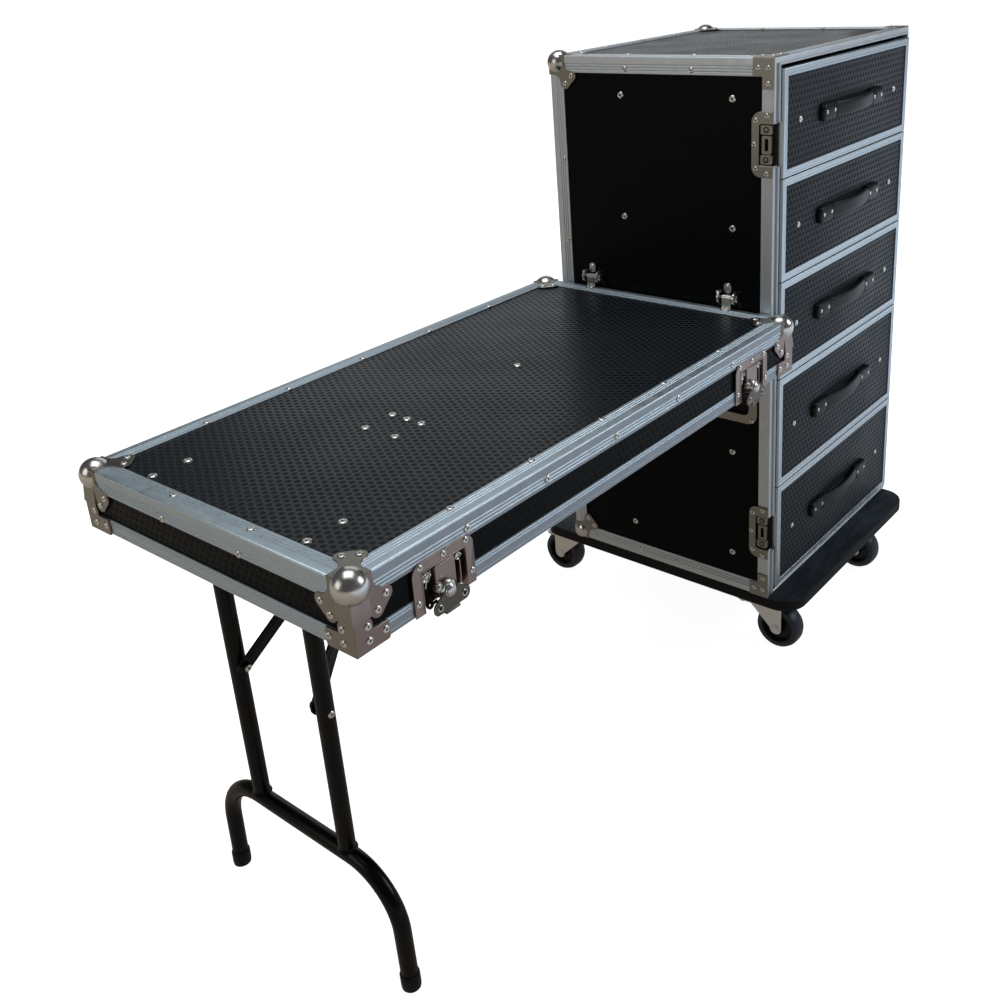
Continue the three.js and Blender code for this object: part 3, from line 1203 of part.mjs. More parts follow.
// Wheel: a turned tyre and hub with a bore, its axis along X
function casterWheel(x, y) {
  const half = WHEEL_WIDTH / 2;
  const hub = half - WHEEL_HUB_INSET;
  const shoulder = [WHEEL_RADIUS - WHEEL_ROUNDING, half - WHEEL_ROUNDING];
  const side = arc(shoulder, WHEEL_ROUNDING, Math.PI / 2, 0, 3);
  const bore = WHEEL_BORE;
  const profile = [
    [bore, -hub],
    [WHEEL_HUB_RADIUS, -hub],
    [WHEEL_HUB_RADIUS + WHEEL_HUB_INSET, -half],
    ...side.map(([u, v]) => [u, -v]),
    ...side.slice().reverse(),
    [WHEEL_HUB_RADIUS + WHEEL_HUB_INSET, half],
    [WHEEL_HUB_RADIUS, hub],
    [bore, hub],
    [bore, -hub],
  ];
  const points = profile.map(([u, v]) => new THREE.Vector2(u, v));
  const geometry = new THREE.LatheGeometry(points, WHEEL_SEGMENTS);
  geometry.rotateZ(Math.PI / 2);
  geometry.translate(x, y, AXLE_Z);
  return toSolid(geometry);
}

function buildCasters() {
  addMesh('caster_board', casterBoard(), 'board');
  const sides = ['left', 'right'];
  const ends = ['front', 'rear'];
  CASTER_PLACES_X.forEach((x, column) => {
    CASTER_PLACES_Y.forEach((y, row) => {
      const name = `${ends[row]}_${sides[column]}`;
      const trail = row === 0 ? -CASTER_TRAIL : CASTER_TRAIL;
      const swivel = new THREE.Group();
      swivel.position.set(x, y, 0);
      assembly.add(swivel);
      addMesh(`caster_fork_${name}`, casterFork(0, 0, trail), 'zincSteel', swivel);
      addMesh(`caster_wheel_${name}`, casterWheel(0, 0), 'tyre', swivel).position.y = trail;
    });
  });
}

buildCaseBody();
buildCatches();
buildHandles();
buildHooks();
buildRunners();
buildDrawers();
buildLid();
buildLeg();
buildCasters();

// The part's origin is the middle of its outer box in plan, at floor level
group.updateMatrixWorld(true);
const bounds = new THREE.Box3().setFromObject(assembly);
const middle = bounds.getCenter(new THREE.Vector3());
assembly.position.set(-middle.x, -middle.y, -bounds.min.z);
group.updateMatrixWorld(true);

export default group;
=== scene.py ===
import math

import bpy
import numpy as np
from mathutils import Matrix, Vector


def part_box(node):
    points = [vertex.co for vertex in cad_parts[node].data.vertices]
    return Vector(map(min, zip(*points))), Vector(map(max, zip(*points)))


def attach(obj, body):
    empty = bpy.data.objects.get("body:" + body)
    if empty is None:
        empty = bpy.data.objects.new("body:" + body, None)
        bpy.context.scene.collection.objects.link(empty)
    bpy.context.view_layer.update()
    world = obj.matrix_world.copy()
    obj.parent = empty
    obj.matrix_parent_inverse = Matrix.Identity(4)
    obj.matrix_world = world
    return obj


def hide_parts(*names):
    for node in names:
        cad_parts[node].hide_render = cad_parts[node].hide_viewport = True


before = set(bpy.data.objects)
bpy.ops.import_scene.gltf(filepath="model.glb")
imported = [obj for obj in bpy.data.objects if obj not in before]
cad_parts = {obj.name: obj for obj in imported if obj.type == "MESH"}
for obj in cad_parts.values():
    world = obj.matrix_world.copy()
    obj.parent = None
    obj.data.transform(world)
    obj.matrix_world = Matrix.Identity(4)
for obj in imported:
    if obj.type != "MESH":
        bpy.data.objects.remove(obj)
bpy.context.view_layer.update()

# Road case with drawers and a table lid. Shapes are written in millimetres in the case's own frame:
# x from the case's left side, y from the plane of the front frame, z from the case's bottom.
MM = 0.001
BOARD_FRONT = 63.0
BOARD_SEAT_GAP = 0.3
BOARD_LOW, BOARD_HIGH = (np.array(corner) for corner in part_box("caster_board"))
ORIGIN = np.array([BOARD_LOW[0], BOARD_LOW[1] + BOARD_FRONT * MM, BOARD_HIGH[2] + BOARD_SEAT_GAP * MM])


def span(node):
    """Ranges of a CAD node along x, y and z, in case millimetres."""
    low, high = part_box(node)
    return [((low[i] - ORIGIN[i]) / MM, (high[i] - ORIGIN[i]) / MM) for i in range(3)]


WIDTH = span("caster_board")[0][1]
DEPTH = 460.0
HEIGHT = 1000.0
FLOOR = span("caster_wheel_front_left")[2][0]
LEG = 30.0
WALL = 2.0
FACE = 13.2
PANEL_FACE = 2.3
MIDDLE_X, MIDDLE_Y = WIDTH / 2, DEPTH / 2

LID_X = (-1005.0, -5.0)
LID_Y = (MIDDLE_Y - 270.0, MIDDLE_Y + 270.0)
LID_LOW, LID_TOP = 480.0, 572.0
RIM_HEIGHT = 24.5
LATCH_HALF_PITCH = 361.0
LATCHES = {"outer": sum(LID_X) / 2 - LATCH_HALF_PITCH, "inner": sum(LID_X) / 2 + LATCH_HALF_PITCH}

AXES = {"x": (1.0, 0.0, 0.0), "y": (0.0, 1.0, 0.0), "z": (0.0, 0.0, 1.0)}
LEFT, FRONT, BACK, DOWN, UP = (-1, 0, 0), (0, -1, 0), (0, 1, 0), (0, 0, -1), (0, 0, 1)

# Directions that a flat outline (u, v) with depth w can face
PLANES = {
    "x": lambda u, v, w: (w, u, v),
    "y": lambda u, v, w: (u, w, v),
    "z": lambda u, v, w: (u, v, w),
}


# Camera, set as the photograph was taken
FOCAL_PIXELS = 1100.09
PRINCIPAL = (544.30, 374.56)
IMAGE_SIZE = 1000.0
SENSOR = 36.0
CAMERA_YAW, CAMERA_PITCH, CAMERA_ROLL = 0.86689, 0.36858, -0.06625
CAMERA_PLACE = (-1628.44, -860.42, 1183.00)


def make_camera():
    data = bpy.data.cameras.new("camera")
    data.sensor_width = SENSOR
    data.lens = SENSOR * FOCAL_PIXELS / IMAGE_SIZE
    data.shift_x = (IMAGE_SIZE / 2 - PRINCIPAL[0]) / IMAGE_SIZE
    data.shift_y = (PRINCIPAL[1] - IMAGE_SIZE / 2) / IMAGE_SIZE
    data.clip_end = 100.0
    yaw, pitch, roll = CAMERA_YAW, CAMERA_PITCH, CAMERA_ROLL
    forward = Vector((math.sin(yaw) * math.cos(pitch), math.cos(yaw) * math.cos(pitch), -math.sin(pitch)))
    level = Vector((math.cos(yaw), -math.sin(yaw), 0.0))
    above = level.cross(forward)
    right = level * math.cos(roll) + above * math.sin(roll)
    up = above * math.cos(roll) - level * math.sin(roll)
    place = Vector(ORIGIN + np.array(CAMERA_PLACE) * MM)
    camera = bpy.data.objects.new("camera", data)
    rows = [(right[i], up[i], -forward[i], place[i]) for i in range(3)] + [(0, 0, 0, 1)]
    camera.matrix_world = Matrix(rows)
    bpy.context.collection.objects.link(camera)
    bpy.context.scene.camera = camera


make_camera()


# Solids: an array of points, one of four-sided faces and a list of end faces, all looking outwards
def closed(points, quads, ends):
    """A solid. Its volume is the sum of p0 . (p1 x p2) over fans of triangles. Where that is below 0,
    the faces are turned round."""
    volume = 0.0
    for group in [quads] + [end[None] for end in ends]:
        corners = points[group]
        volume += np.sum(corners[:, :1] * np.cross(corners[:, 1:-1], corners[:, 2:]))
    if volume < 0:
        return points, quads[:, ::-1], [end[::-1] for end in ends]
    return points, quads, ends


def loft(rings, loop=False):
    """Skin through rings of equal length: point k of ring i meets point k + 1 and ring i + 1. A loop joins
    the last ring to the first, and otherwise a flat face closes each end."""
    rings = np.asarray(rings, float)
    index = np.arange(rings.shape[0] * rings.shape[1]).reshape(rings.shape[:2])
    if loop:
        index = np.concatenate([index, index[:1]])
    ahead = np.roll(index, -1, axis=1)
    quads = np.stack([index[:-1], ahead[:-1], ahead[1:], index[1:]], -1).reshape(-1, 4)
    return closed(rings.reshape(-1, 3), quads, [] if loop else [index[0][::-1], index[-1]])


def placed(place, outline, w):
    """Points in space of a flat outline at depth w. place gives x, y and z from u, v and depth."""
    u, v = np.array(outline, float).T
    return np.stack(np.broadcast_arrays(*place(u, v, w)), -1)


def arc(centre, radius, start, end, steps):
    """Points centre + radius * (cos a, sin a) of a circle's arc, angles in degrees, both ends included."""
    angles = np.radians(np.linspace(start, end, steps + 1))
    return list(zip(centre[0] + radius * np.cos(angles), centre[1] + radius * np.sin(angles)))


def rectangle(u, v):
    """A rectangle's corners in turn, each with its way inwards along u and v."""
    return (u[0], v[0], 1, 1), (u[1], v[0], -1, 1), (u[1], v[1], -1, -1), (u[0], v[1], 1, -1)


def rounded(u, v, radii, steps=5):
    """Rectangle with a quarter circle at each corner, from the low-low corner round. radii is one or four."""
    radii = [radii] * 4 if np.isscalar(radii) else radii
    points = []
    for (cu, cv, su, sv), radius, start in zip(rectangle(u, v), radii, (180, 270, 0, 90)):
        points += arc((cu + su * radius, cv + sv * radius), radius, start, start + 90, steps)
    return points


def within(pair, distance):
    """A range made shorter by a distance at both ends."""
    return pair[0] + distance, pair[1] - distance


SHARPEST = 0.35


def inset(outline, distance):
    """The outline moved inwards along its corners' bisectors: each corner goes by distance * n / (n . n / 2),
    where n is the sum of its two sides' normals. A sharp corner's divisor is limited."""
    points = np.array(outline, float)
    after = np.roll(points, -1, 0)
    turns_left = np.sign(np.sum(points[:, 0] * after[:, 1] - after[:, 0] * points[:, 1]))
    joined = np.zeros_like(points)
    for side in (points - np.roll(points, 1, 0), after - points):
        length = np.maximum(np.linalg.norm(side, axis=1, keepdims=True), 1e-9)
        joined += np.stack([-side[:, 1], side[:, 0]], 1) / length * turns_left
    scale = np.maximum(np.sum(joined * joined, axis=1, keepdims=True) / 2, SHARPEST)
    return points + joined / scale * distance


def stepped(outline, steps, plane):
    """Plate through insets of an outline. steps are (inset, depth)."""
    return loft([placed(PLANES[plane], inset(outline, narrow), depth) for narrow, depth in steps])


def slab(outline, w, plane, bevel=0.4):
    """Plate of an outline between two depths, inset by a bevel at both faces."""
    low, high = sorted(w)
    return stepped(outline, ((bevel, low), (0.0, low + bevel), (0.0, high - bevel), (bevel, high)), plane)


def block(x, y, z, bevel=0.4):
    """Box with bevelled edges."""
    return slab(rounded(x, y, bevel, 2), z, "z", bevel)


def hollow_plate(outline, hole, w, plane):
    """Plate with a hole: both outlines have the same number of points."""
    steps = ((outline, w[0]), (outline, w[1]), (hole, w[1]), (hole, w[0]))
    return loft([placed(PLANES[plane], ring, depth) for ring, depth in steps], loop=True)


def spun(profile, centre, along, first, sides, loop=False):
    """Solid of revolution: point (radius, place) of the profile becomes the ring
    centre + radius * (first * cos a + second * sin a) + along * place, with second square to both directions.
    The profile ends in flat faces or, as a loop, meets its own start."""
    along, first = np.array(along), np.array(first)
    angles = np.linspace(0, 2 * math.pi, sides, endpoint=False)[:, None]
    ways = first * np.cos(angles) + np.cross(along, first) * np.sin(angles)
    radius, place = np.array(profile, float).T[:, :, None, None]
    return loft(np.array(centre) + radius * ways + place * along, loop)


def turned(profile, centre, axis, sides=32, loop=False):
    """Solid of revolution round one of the three axes."""
    return spun(profile, centre, AXES[axis], np.roll(AXES[axis], 1), sides, loop)


def unit(vectors):
    return vectors / np.linalg.norm(vectors, axis=-1, keepdims=True)


def rod(start, end, radius, sides=16, bevel=0.3):
    """Round bar between two points, with its end edges broken."""
    reach = np.array(end, float) - start
    along, length = unit(reach), np.linalg.norm(reach)
    first = unit(np.cross(along, AXES["z"] if abs(along[2]) < 0.9 else AXES["x"]))
    profile = ((radius - bevel, 0.0), (radius, bevel), (radius, length - bevel), (radius - bevel, length))
    return spun(profile, start, along, first, sides)


def tube(path, radius, sides=18):
    """Tube along a path: at each point the ring radius * (first * cos a + second * sin a) square to the path.
    first is carried from point to point less its part along the path, so that the section doesn't twist."""
    path = np.array(path, float)
    path = path[np.append(True, np.linalg.norm(np.diff(path, axis=0), axis=1) > 0.01)]
    tangents = unit(np.gradient(path, axis=0))
    side = np.cross(tangents[0], AXES["x"] if abs(tangents[0][0]) < 0.9 else AXES["y"])
    carried = []
    for tangent in tangents:
        side = unit(side - tangent * np.dot(side, tangent))
        carried.append(side)
    first, along = np.array(carried)[:, None], tangents[:, None]
    angles = np.linspace(0, 2 * math.pi, sides, endpoint=False)[:, None]
    return loft(path[:, None] + (first * np.cos(angles) + np.cross(along, first) * np.sin(angles)) * radius)


def coil(start, radius, turns, pitch, wire, steps, sides):
    """Spring round the y direction, its path the helix (radius * cos t, pitch * t / 2 pi, radius * sin t)."""
    t = np.linspace(0, turns * 2 * math.pi, steps)
    path = np.stack([radius * np.cos(t), pitch * t / (2 * math.pi), radius * np.sin(t)], 1) + start
    return tube(path, wire, sides)


def axis_of(facing):
    """Name of the axis that a direction lies along, and its sign."""
    index = int(np.argmax(np.abs(facing)))
    return "xyz"[index], float(np.sign(facing[index]))


def dome(centre, facing, radius, height, sides=14):
    """Round head on a face. At radius * cos a from its middle it stands height * sin a over the face."""
    axis, sign = axis_of(facing)
    steps = np.radians(np.linspace(0, 80, 5))
    profile = [(radius, -sign * height)] + [(radius * math.cos(a), sign * height * math.sin(a)) for a in steps]
    return turned(profile, centre, axis, sides)


def reshaped(solids, change):
    """Solids with a function applied to their points, and their faces turned outwards again."""
    return [closed(change(points), quads, ends) for points, quads, ends in solids]


def mirrored(solids, axis, middle):
    """The same solids reflected in a plane across an axis: p becomes 2 * middle - p there."""
    scale, shift = np.ones(3), np.zeros(3)
    scale[axis], shift[axis] = -1.0, 2 * middle
    return reshaped(solids, lambda points: points * scale + shift)


def mirrored_spots(spots, axis, middle):
    """Rivet places and the ways they face, reflected in a plane across an axis."""
    scale, shift = np.ones(3), np.zeros(3)
    scale[axis], shift[axis] = -1.0, 2 * middle
    return [(place * scale + shift, facing * scale) for place, facing in spots]


def left_and_right(solids):
    return solids + mirrored(solids, 0, MIDDLE_X)


def spots_left_and_right(spots):
    return spots + mirrored_spots(spots, 0, MIDDLE_X)


def leaned(solids, pivot, angle, slope=0.0):
    """Solids leaned in y by slope per millimetre of x, turned in the xz plane and moved to a pivot."""
    c, s = math.cos(angle), math.sin(angle)
    turn = np.array([(c, slope, s), (0.0, 1.0, 0.0), (-s, 0.0, c)])
    return reshaped(solids, lambda points: points @ turn + pivot)


def bar(profile, place, start, end, mitres=(0.0, 0.0)):
    """Straight profile. place(u, v, t) gives a point, and an end's mitre moves it inwards by u."""
    u = np.array(profile)[:, 0]
    return loft([placed(place, profile, start + mitres[0] * u), placed(place, profile, end - mitres[1] * u)])


def surround(profile, u, v, plane):
    """Profile (inset, depth) carried round a rectangle with mitred corners."""
    i, w = np.array(profile).T
    rings = []
    for cu, cv, su, sv in rectangle(u, v):
        rings.append(placed(PLANES[plane], np.stack([cu + su * i, cv + sv * i], 1), w))
    return loft(rings, loop=True)


# Pieces: solids joined into one mesh, in the row frame
SHARP_ANGLE = 38.0


def piece(name, solids, finish, body, replaces=()):
    loops, sizes, start = [], [], 0
    for points, quads, ends in solids:
        loops += [quads.ravel() + start] + [end + start for end in ends]
        sizes += [4] * len(quads) + [len(end) for end in ends]
        start += len(points)
    points = np.concatenate([points for points, _, _ in solids]) * MM + ORIGIN
    name = name.replace(" ", "_")
    mesh = bpy.data.meshes.new(name)
    mesh.vertices.add(len(points))
    mesh.vertices.foreach_set("co", points.astype(np.float32).ravel())
    loops = np.concatenate(loops).astype(np.int32)
    mesh.loops.add(len(loops))
    mesh.loops.foreach_set("vertex_index", loops)
    mesh.polygons.add(len(sizes))
    mesh.polygons.foreach_set("loop_start", (np.cumsum(sizes) - sizes).astype(np.int32))
    mesh.update(calc_edges=True)
    mesh.validate()
    mesh.shade_smooth()
    mesh.set_sharp_from_angle(angle=math.radians(SHARP_ANGLE))
    mesh.materials.append(finish)
    thing = bpy.data.objects.new(name, mesh)
    bpy.context.collection.objects.link(thing)
    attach(thing, body)
    if replaces:
        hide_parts(*replaces)


# A rivet's ring as shares of its radius and height, its foot, and the near black disc in its middle that paints
# the shade of its hollow
RIVET_SHARES = ((1.0, 0.3), (0.8, 0.85), (0.58, 1.0), (0.4, 0.85), (0.32, 0.4))
RIVET_FOOT, PIT_SHADE_FOOT = -0.5, -0.4
PIT_SHADE_SHARE, PIT_SHADE_HEIGHT_SHARE, PIT_SHADE_MIDDLE = 0.36, 0.35, 0.1
# Radius and height of each kind of head
EDGING_RIVET, CORNER_RIVET, FRONT_CORNER_RIVET = (5.0, 1.8), (4.8, 1.8), (4.4, 1.5)
FLANGE_RIVET, LATCH_RIVET, FOOT_RIVET = (4.4, 1.6), (4.4, 1.7), (4.7, 1.8)
SIDE_SCREW, LID_SCREW, LEG_RIVET, HANDLE_RIVET = (6.2, 2.4), (6.6, 2.6), (5.2, 2.2), (3.2, 1.0)


def rivets(name, spots, body, head):
    """Blind rivets: a low ring with a near black disc sunk in its middle, painted shade of the hollow. spots
    are (place, facing).
    """
    radius, height = head
    shape = [(r * radius, h * height) for r, h in RIVET_SHARES]
    shape = [(shape[0][0], RIVET_FOOT)] + shape + [(shape[-1][0], RIVET_FOOT)]
    top = PIT_SHADE_HEIGHT_SHARE * height
    # The middle is a near black disc: painted shade of the rivet's hollow
    shaded_pit = [(PIT_SHADE_SHARE * radius, PIT_SHADE_FOOT), (PIT_SHADE_SHARE * radius, top), (PIT_SHADE_MIDDLE, top)]
    rings, shaded_pits = [], []
    for place, facing in spots:
        axis, sign = axis_of(facing)
        rings.append(turned([(r, sign * w) for r, w in shape], place, axis, 18, loop=True))
        shaded_pits.append(turned([(r, sign * w) for r, w in shaded_pit], place, axis, 12))
    piece(name, rings, RIVET_NICKEL, body)
    piece(f"{name} cores", shaded_pits, DARK_STEEL_AND_PIT_SHADE, body)


# Materials
def linear(code):
    """Linear colour of an sRGB hex code such as a9b4bd."""
    channels = [int(code[i:i + 2], 16) / 255 for i in (0, 2, 4)]
    return tuple(c / 12.92 if c <= 0.04045 else ((c + 0.055) / 1.055) ** 2.4 for c in channels) + (1.0,)


def feed(node, inputs):
    """Gives each input its value, or its link where it comes from a socket."""
    for key, value in inputs.items():
        if isinstance(value, bpy.types.NodeSocket):
            node.id_data.links.new(value, node.inputs[key])
        else:
            node.inputs[key].default_value = value
    return node


def add(tree, kind, inputs, **settings):
    """One shader node with its settings and inputs."""
    node = tree.nodes.new("ShaderNode" + kind)
    for key, value in settings.items():
        setattr(node, key, value)
    return feed(node, inputs)


def surface(name, colour, roughness, **inputs):
    """New material with its shader's own values. An input's name has underscores for spaces."""
    finish = bpy.data.materials.new(name)
    finish.use_nodes = True
    shader = finish.node_tree.nodes["Principled BSDF"]
    feed(shader, {"Base Color": linear(colour), "Roughness": roughness})
    feed(shader, {key.replace("_", " "): value for key, value in inputs.items()})
    return finish, finish.node_tree, shader


def noise(tree, sizes, detail, rough=0.5):
    """Noise in object space, its lumps as long as the sizes in millimetres along x, y and z."""
    where = add(tree, "TexCoord", {}).outputs["Object"]
    counts = tuple(1 / (size * MM) for size in sizes)
    place = add(tree, "VectorMath", {0: where, 1: counts}, operation="MULTIPLY").outputs[0]
    inputs = {"Vector": place, "Scale": 1.0, "Detail": detail, "Roughness": rough}
    return add(tree, "TexNoise", inputs).outputs["Fac"]


def blotches(tree, size, low, high, detail=4.0):
    """Even noise, mapped to a range of values."""
    ends = {"From Min": 0.3, "From Max": 0.7, "To Min": low, "To Max": high}
    return add(tree, "MapRange", {"Value": noise(tree, (size,) * 3, detail), **ends}).outputs["Result"]


def two_tone(tree, share, low, high):
    """Colour between two: low at 0 and high at 1. Each is a hex code, a linear colour or a socket."""
    ends = [linear(end) if isinstance(end, str) else end for end in (low, high)]
    return add(tree, "Mix", {"Factor": share, "A": ends[0], "B": ends[1]}, data_type="RGBA").outputs["Result"]


def looks(tree, way, least):
    """1 on faces that look along a way: where the dot product of both directions is more than least."""
    normal = add(tree, "TexCoord", {}).outputs["Normal"]
    along = add(tree, "VectorMath", {0: normal, 1: way}, operation="DOT_PRODUCT").outputs["Value"]
    return add(tree, "Math", {0: along, 1: least}, operation="GREATER_THAN").outputs[0]


FLAT_SUM = 0.88


def slanting(tree):
    """1 on groove flanks and rounded corners: where the fourth powers of the direction's parts sum to less than
    on a flat face."""
    normal = add(tree, "TexCoord", {}).outputs["Normal"]
    square = add(tree, "VectorMath", {0: normal, 1: normal}, operation="MULTIPLY").outputs[0]
    total = add(tree, "VectorMath", {0: square, 1: square}, operation="DOT_PRODUCT").outputs["Value"]
    return add(tree, "Math", {0: total, 1: FLAT_SUM}, operation="LESS_THAN").outputs[0]


def bump(tree, shader, height, depth):
    """Relief of a depth in millimetres."""
    relief = add(tree, "Bump", {"Height": height, "Strength": 1.0, "Distance": depth * MM}).outputs["Normal"]
    feed(shader, {"Normal": relief})


HEX_PERIOD = 10.55


def honeycomb(tree):
    """1 in a cell and 0 on its rim, from cos(k . p) summed over three directions k at 60 degrees. p lies in
    the plane that the face looks out of."""
    where = add(tree, "TexCoord", {}).outputs
    place = add(tree, "SeparateXYZ", {0: where["Object"]}).outputs
    size = add(tree, "VectorMath", {0: where["Normal"]}, operation="ABSOLUTE").outputs[0]
    parts = add(tree, "SeparateXYZ", {0: size}).outputs
    side, top = (add(tree, "Math", {0: parts[axis], 1: 0.5}, operation="GREATER_THAN").outputs[0]
                 for axis in "XZ")
    u = add(tree, "Mix", {"Factor": side, "A": place["X"], "B": place["Y"]}).outputs["Result"]
    v = add(tree, "Mix", {"Factor": top, "A": place["Z"], "B": place["Y"]}).outputs["Result"]
    wave = 2 * math.pi / (HEX_PERIOD * MM)
    total = 0.0
    for turn in np.radians((90, 30, 150)):
        across = add(tree, "Math", {0: u, 1: wave * math.cos(turn)}, operation="MULTIPLY").outputs[0]
        phase = {0: v, 1: wave * math.sin(turn), 2: across}
        phase = add(tree, "Math", phase, operation="MULTIPLY_ADD").outputs[0]
        crest = add(tree, "Math", {0: phase}, operation="COSINE").outputs[0]
        total = add(tree, "Math", {0: total, 1: crest}, operation="ADD").outputs[0]
    ends = {"Value": total, "From Min": -1.1, "From Max": 0.9}
    return add(tree, "MapRange", ends, interpolation_type="SMOOTHSTEP").outputs["Result"]


SHADED_SIDE_GLOSS = 0.06
CELL_ROUGHER = 0.26
WEAR_SIZE = 111.11


def laminate(name, rim, cell, roughness, depth, gloss, side_rim=None):
    """Dark cells in a paler honeycomb rim: painted shade in the sunk cells and painted light on the raised rim.
    On upright faces the rim may be darker and duller, as painted shade.
    """
    finish, tree, shader = surface(name, rim, roughness, Specular_IOR_Level=gloss)
    cells = honeycomb(tree)
    if side_rim:
        # Upright faces take a darker rim colour and less shine: painted shade
        top = looks(tree, UP, 0.5)
        rim = two_tone(tree, top, side_rim, rim)
        shine = {"Value": top, "To Min": SHADED_SIDE_GLOSS, "To Max": gloss}
        feed(shader, {"Specular IOR Level": add(tree, "MapRange", shine).outputs["Result"]})
    raised = add(tree, "Math", {0: 1.0, 1: cells}, operation="SUBTRACT").outputs[0]
    bump(tree, shader, raised, depth)
    rough = {"Value": cells, "To Min": roughness, "To Max": roughness + CELL_ROUGHER}
    rough = {0: add(tree, "MapRange", rough).outputs["Result"], 1: blotches(tree, WEAR_SIZE, -0.05, 0.06)}
    # The cells' darker colour is painted shade in the hollows, the rim's paler colour painted light on the
    # raised net
    feed(shader, {"Base Color": two_tone(tree, cells, rim, cell),
                  "Roughness": add(tree, "Math", rough, operation="ADD").outputs[0]})
    return finish


HANDLED_SIZE = 16.667


def metal(name, colour, roughness, front=None, rib_highlight=None):
    """Metal with handling blotches in its roughness. Front faces may take their own colour, painted as shade on
    the lid's aluminium and as a reflection on the zinc, and ribs a painted highlight colour.
    """
    finish, tree, shader = surface(name, colour, roughness, Metallic=1.0)
    if front:
        # Front faces take a colour of painted light, and groove flanks and rounded corners a painted highlight
        colour = two_tone(tree, looks(tree, FRONT, 0.6), colour, front)
        colour = two_tone(tree, slanting(tree), colour, rib_highlight) if rib_highlight else colour
        feed(shader, {"Base Color": colour})
    feed(shader, {"Roughness": blotches(tree, HANDLED_SIZE, roughness - 0.06, roughness + 0.08)})
    return finish


GRAIN_SIZE = 1.1111


def coated(name, colour, roughness, grain=0.0, gloss=0.5):
    """Even paint, plastic or rubber. Its grain is the depth of an orange peel in millimetres."""
    finish, tree, shader = surface(name, colour, roughness, Specular_IOR_Level=gloss)
    if grain:
        bump(tree, shader, blotches(tree, GRAIN_SIZE, 0.0, 1.0, 2.0), grain)
    return finish


def scuffed_board_shaded_edges():
    """Dark coat whose top is rubbed pale in patches that run along x, and whose edges are painted black as
    shade.
    """
    finish, tree, shader = surface("film faced plywood", "23282f", 0.55, Specular_IOR_Level=0.25)
    patches = {"Value": noise(tree, (166.67, 41.667, 166.67), 9.0, 0.65), "From Min": 0.42, "From Max": 0.78}
    worn = two_tone(tree, add(tree, "MapRange", patches).outputs["Result"], "1d252d", "46515c")
    # Upright faces painted near black as shade
    feed(shader, {"Base Color": two_tone(tree, looks(tree, UP, 0.5), "050506", worn)})
    bump(tree, shader, blotches(tree, 3.3333, 0.0, 1.0), 0.08)
    return finish


def birch():
    """Grain of two browns, in lines 18 mm wide across x, 250 mm long in y and 6 mm high."""
    finish, tree, shader = surface("sanded birch plywood", "b08d61", 0.6)
    feed(shader, {"Base Color": two_tone(tree, noise(tree, (17.857, 250.0, 6.25), 6.0), "94724a", "c9a878")})
    return finish


# Phenolic laminate pressed with a honeycomb: a low sheen on the raised net, painted paler as light, near black
# and dull in its cells, painted as shade; its upright faces painted darker as shade
LAMINATE_PAINTED_LIGHT = laminate("honeycomb phenolic laminate", "292f35", "0d1013", 0.26, 0.1, 0.155, side_rim="0d0d0e")
# The drawers' sheet, pressed deeper: its net stands out paler and duller, with painted light on the raised net
# and painted shade in the cells
DRAWER_LAMINATE_PAINTED_LIGHT = laminate("deep pressed phenolic laminate", "2f353c", "171b20", 0.42, 0.25, 0.24)
# Extruded and satin anodised: pale, with a soft broad shine
ALUMINIUM = metal("satin anodised aluminium", "d2d8dd", 0.5)
# The lid's: bluer, its front faces painted darker as shade, its ribs' edges painted bright as highlights
LID_ALUMINIUM_PAINTED_LIGHT = metal("anodised aluminium with painted shade and highlights", "bfccd4", 0.5, front="a2a7af", rib_highlight="d4e2ec")
# Brushed along its length, so it shines tighter
DRAWER_ALUMINIUM = metal("brushed aluminium", "c8d0d7", 0.38)
# Pressed and zinc plated: a warm grey with a clear sheen, its front faces painted browner as a reflection
ZINC_PLATED_FRONT_REFLECTION = metal("zinc plated pressed steel", "94928a", 0.32, front="958480")
# Passivated after plating, which leaves a pinkish tint
LATCH_STEEL = metal("passivated pressed steel", "a08e8a", 0.36)
# Stamped and dull nickel plated: darker than the dish round it
WING_STEEL = metal("dull nickel plated steel", "6c665d", 0.34)
# Bright nickel on the rivets' rings: small sharp lights
RIVET_NICKEL = metal("bright nickel plated steel", "e4e2de", 0.28)
# Chrome plated and polished: mirrors the room, softened by wear
CHROME = metal("chrome plated steel", "d4d2ce", 0.24)
# Hot dip galvanised: pale and matt
GALVANISED = metal("galvanised steel", "efede7", 0.55)
# Blackened steel for the latches' claws: dark, with a faint sheen; the same colour paints shade in the rivets'
# sunk middles
DARK_STEEL_AND_PIT_SHADE = metal("blackened steel and painted pit shade", "5a554f", 0.4)
# Powder baked on: black with a tight shine over a fine orange peel
POWDER_COAT = coated("black powder coat", "050506", 0.26, grain=0.015, gloss=0.22)
# Moulded polyamide: black, a little greyer than the coat, with a soft shine
POLYAMIDE = coated("moulded polyamide", "0a0d10", 0.36, gloss=0.24)
# Near black and quite matt: painted shade on the pieces in hollows, pans and holes
HOLLOW_SHADE = coated("painted hollow shade", "060606", 0.8)
# Film pressed on plywood: dark, rubbed pale where loads slide over it, its edges painted black as shade
BOARD = scuffed_board_shaded_edges()
# Sanded plywood: pale brown lines along the grain, without shine
BIRCH = birch()
# Moulded rubber: blue black, a little shiny from rolling
RUBBER = coated("moulded rubber", "1f2c38", 0.42)
# Moulded nylon: black with a low shine
NYLON = coated("moulded nylon", "08090a", 0.45, gloss=0.3)
# Cold rolled: an even grey that shines along the runner
RUNNER_STEEL = metal("cold rolled steel", "a3a6a8", 0.35)


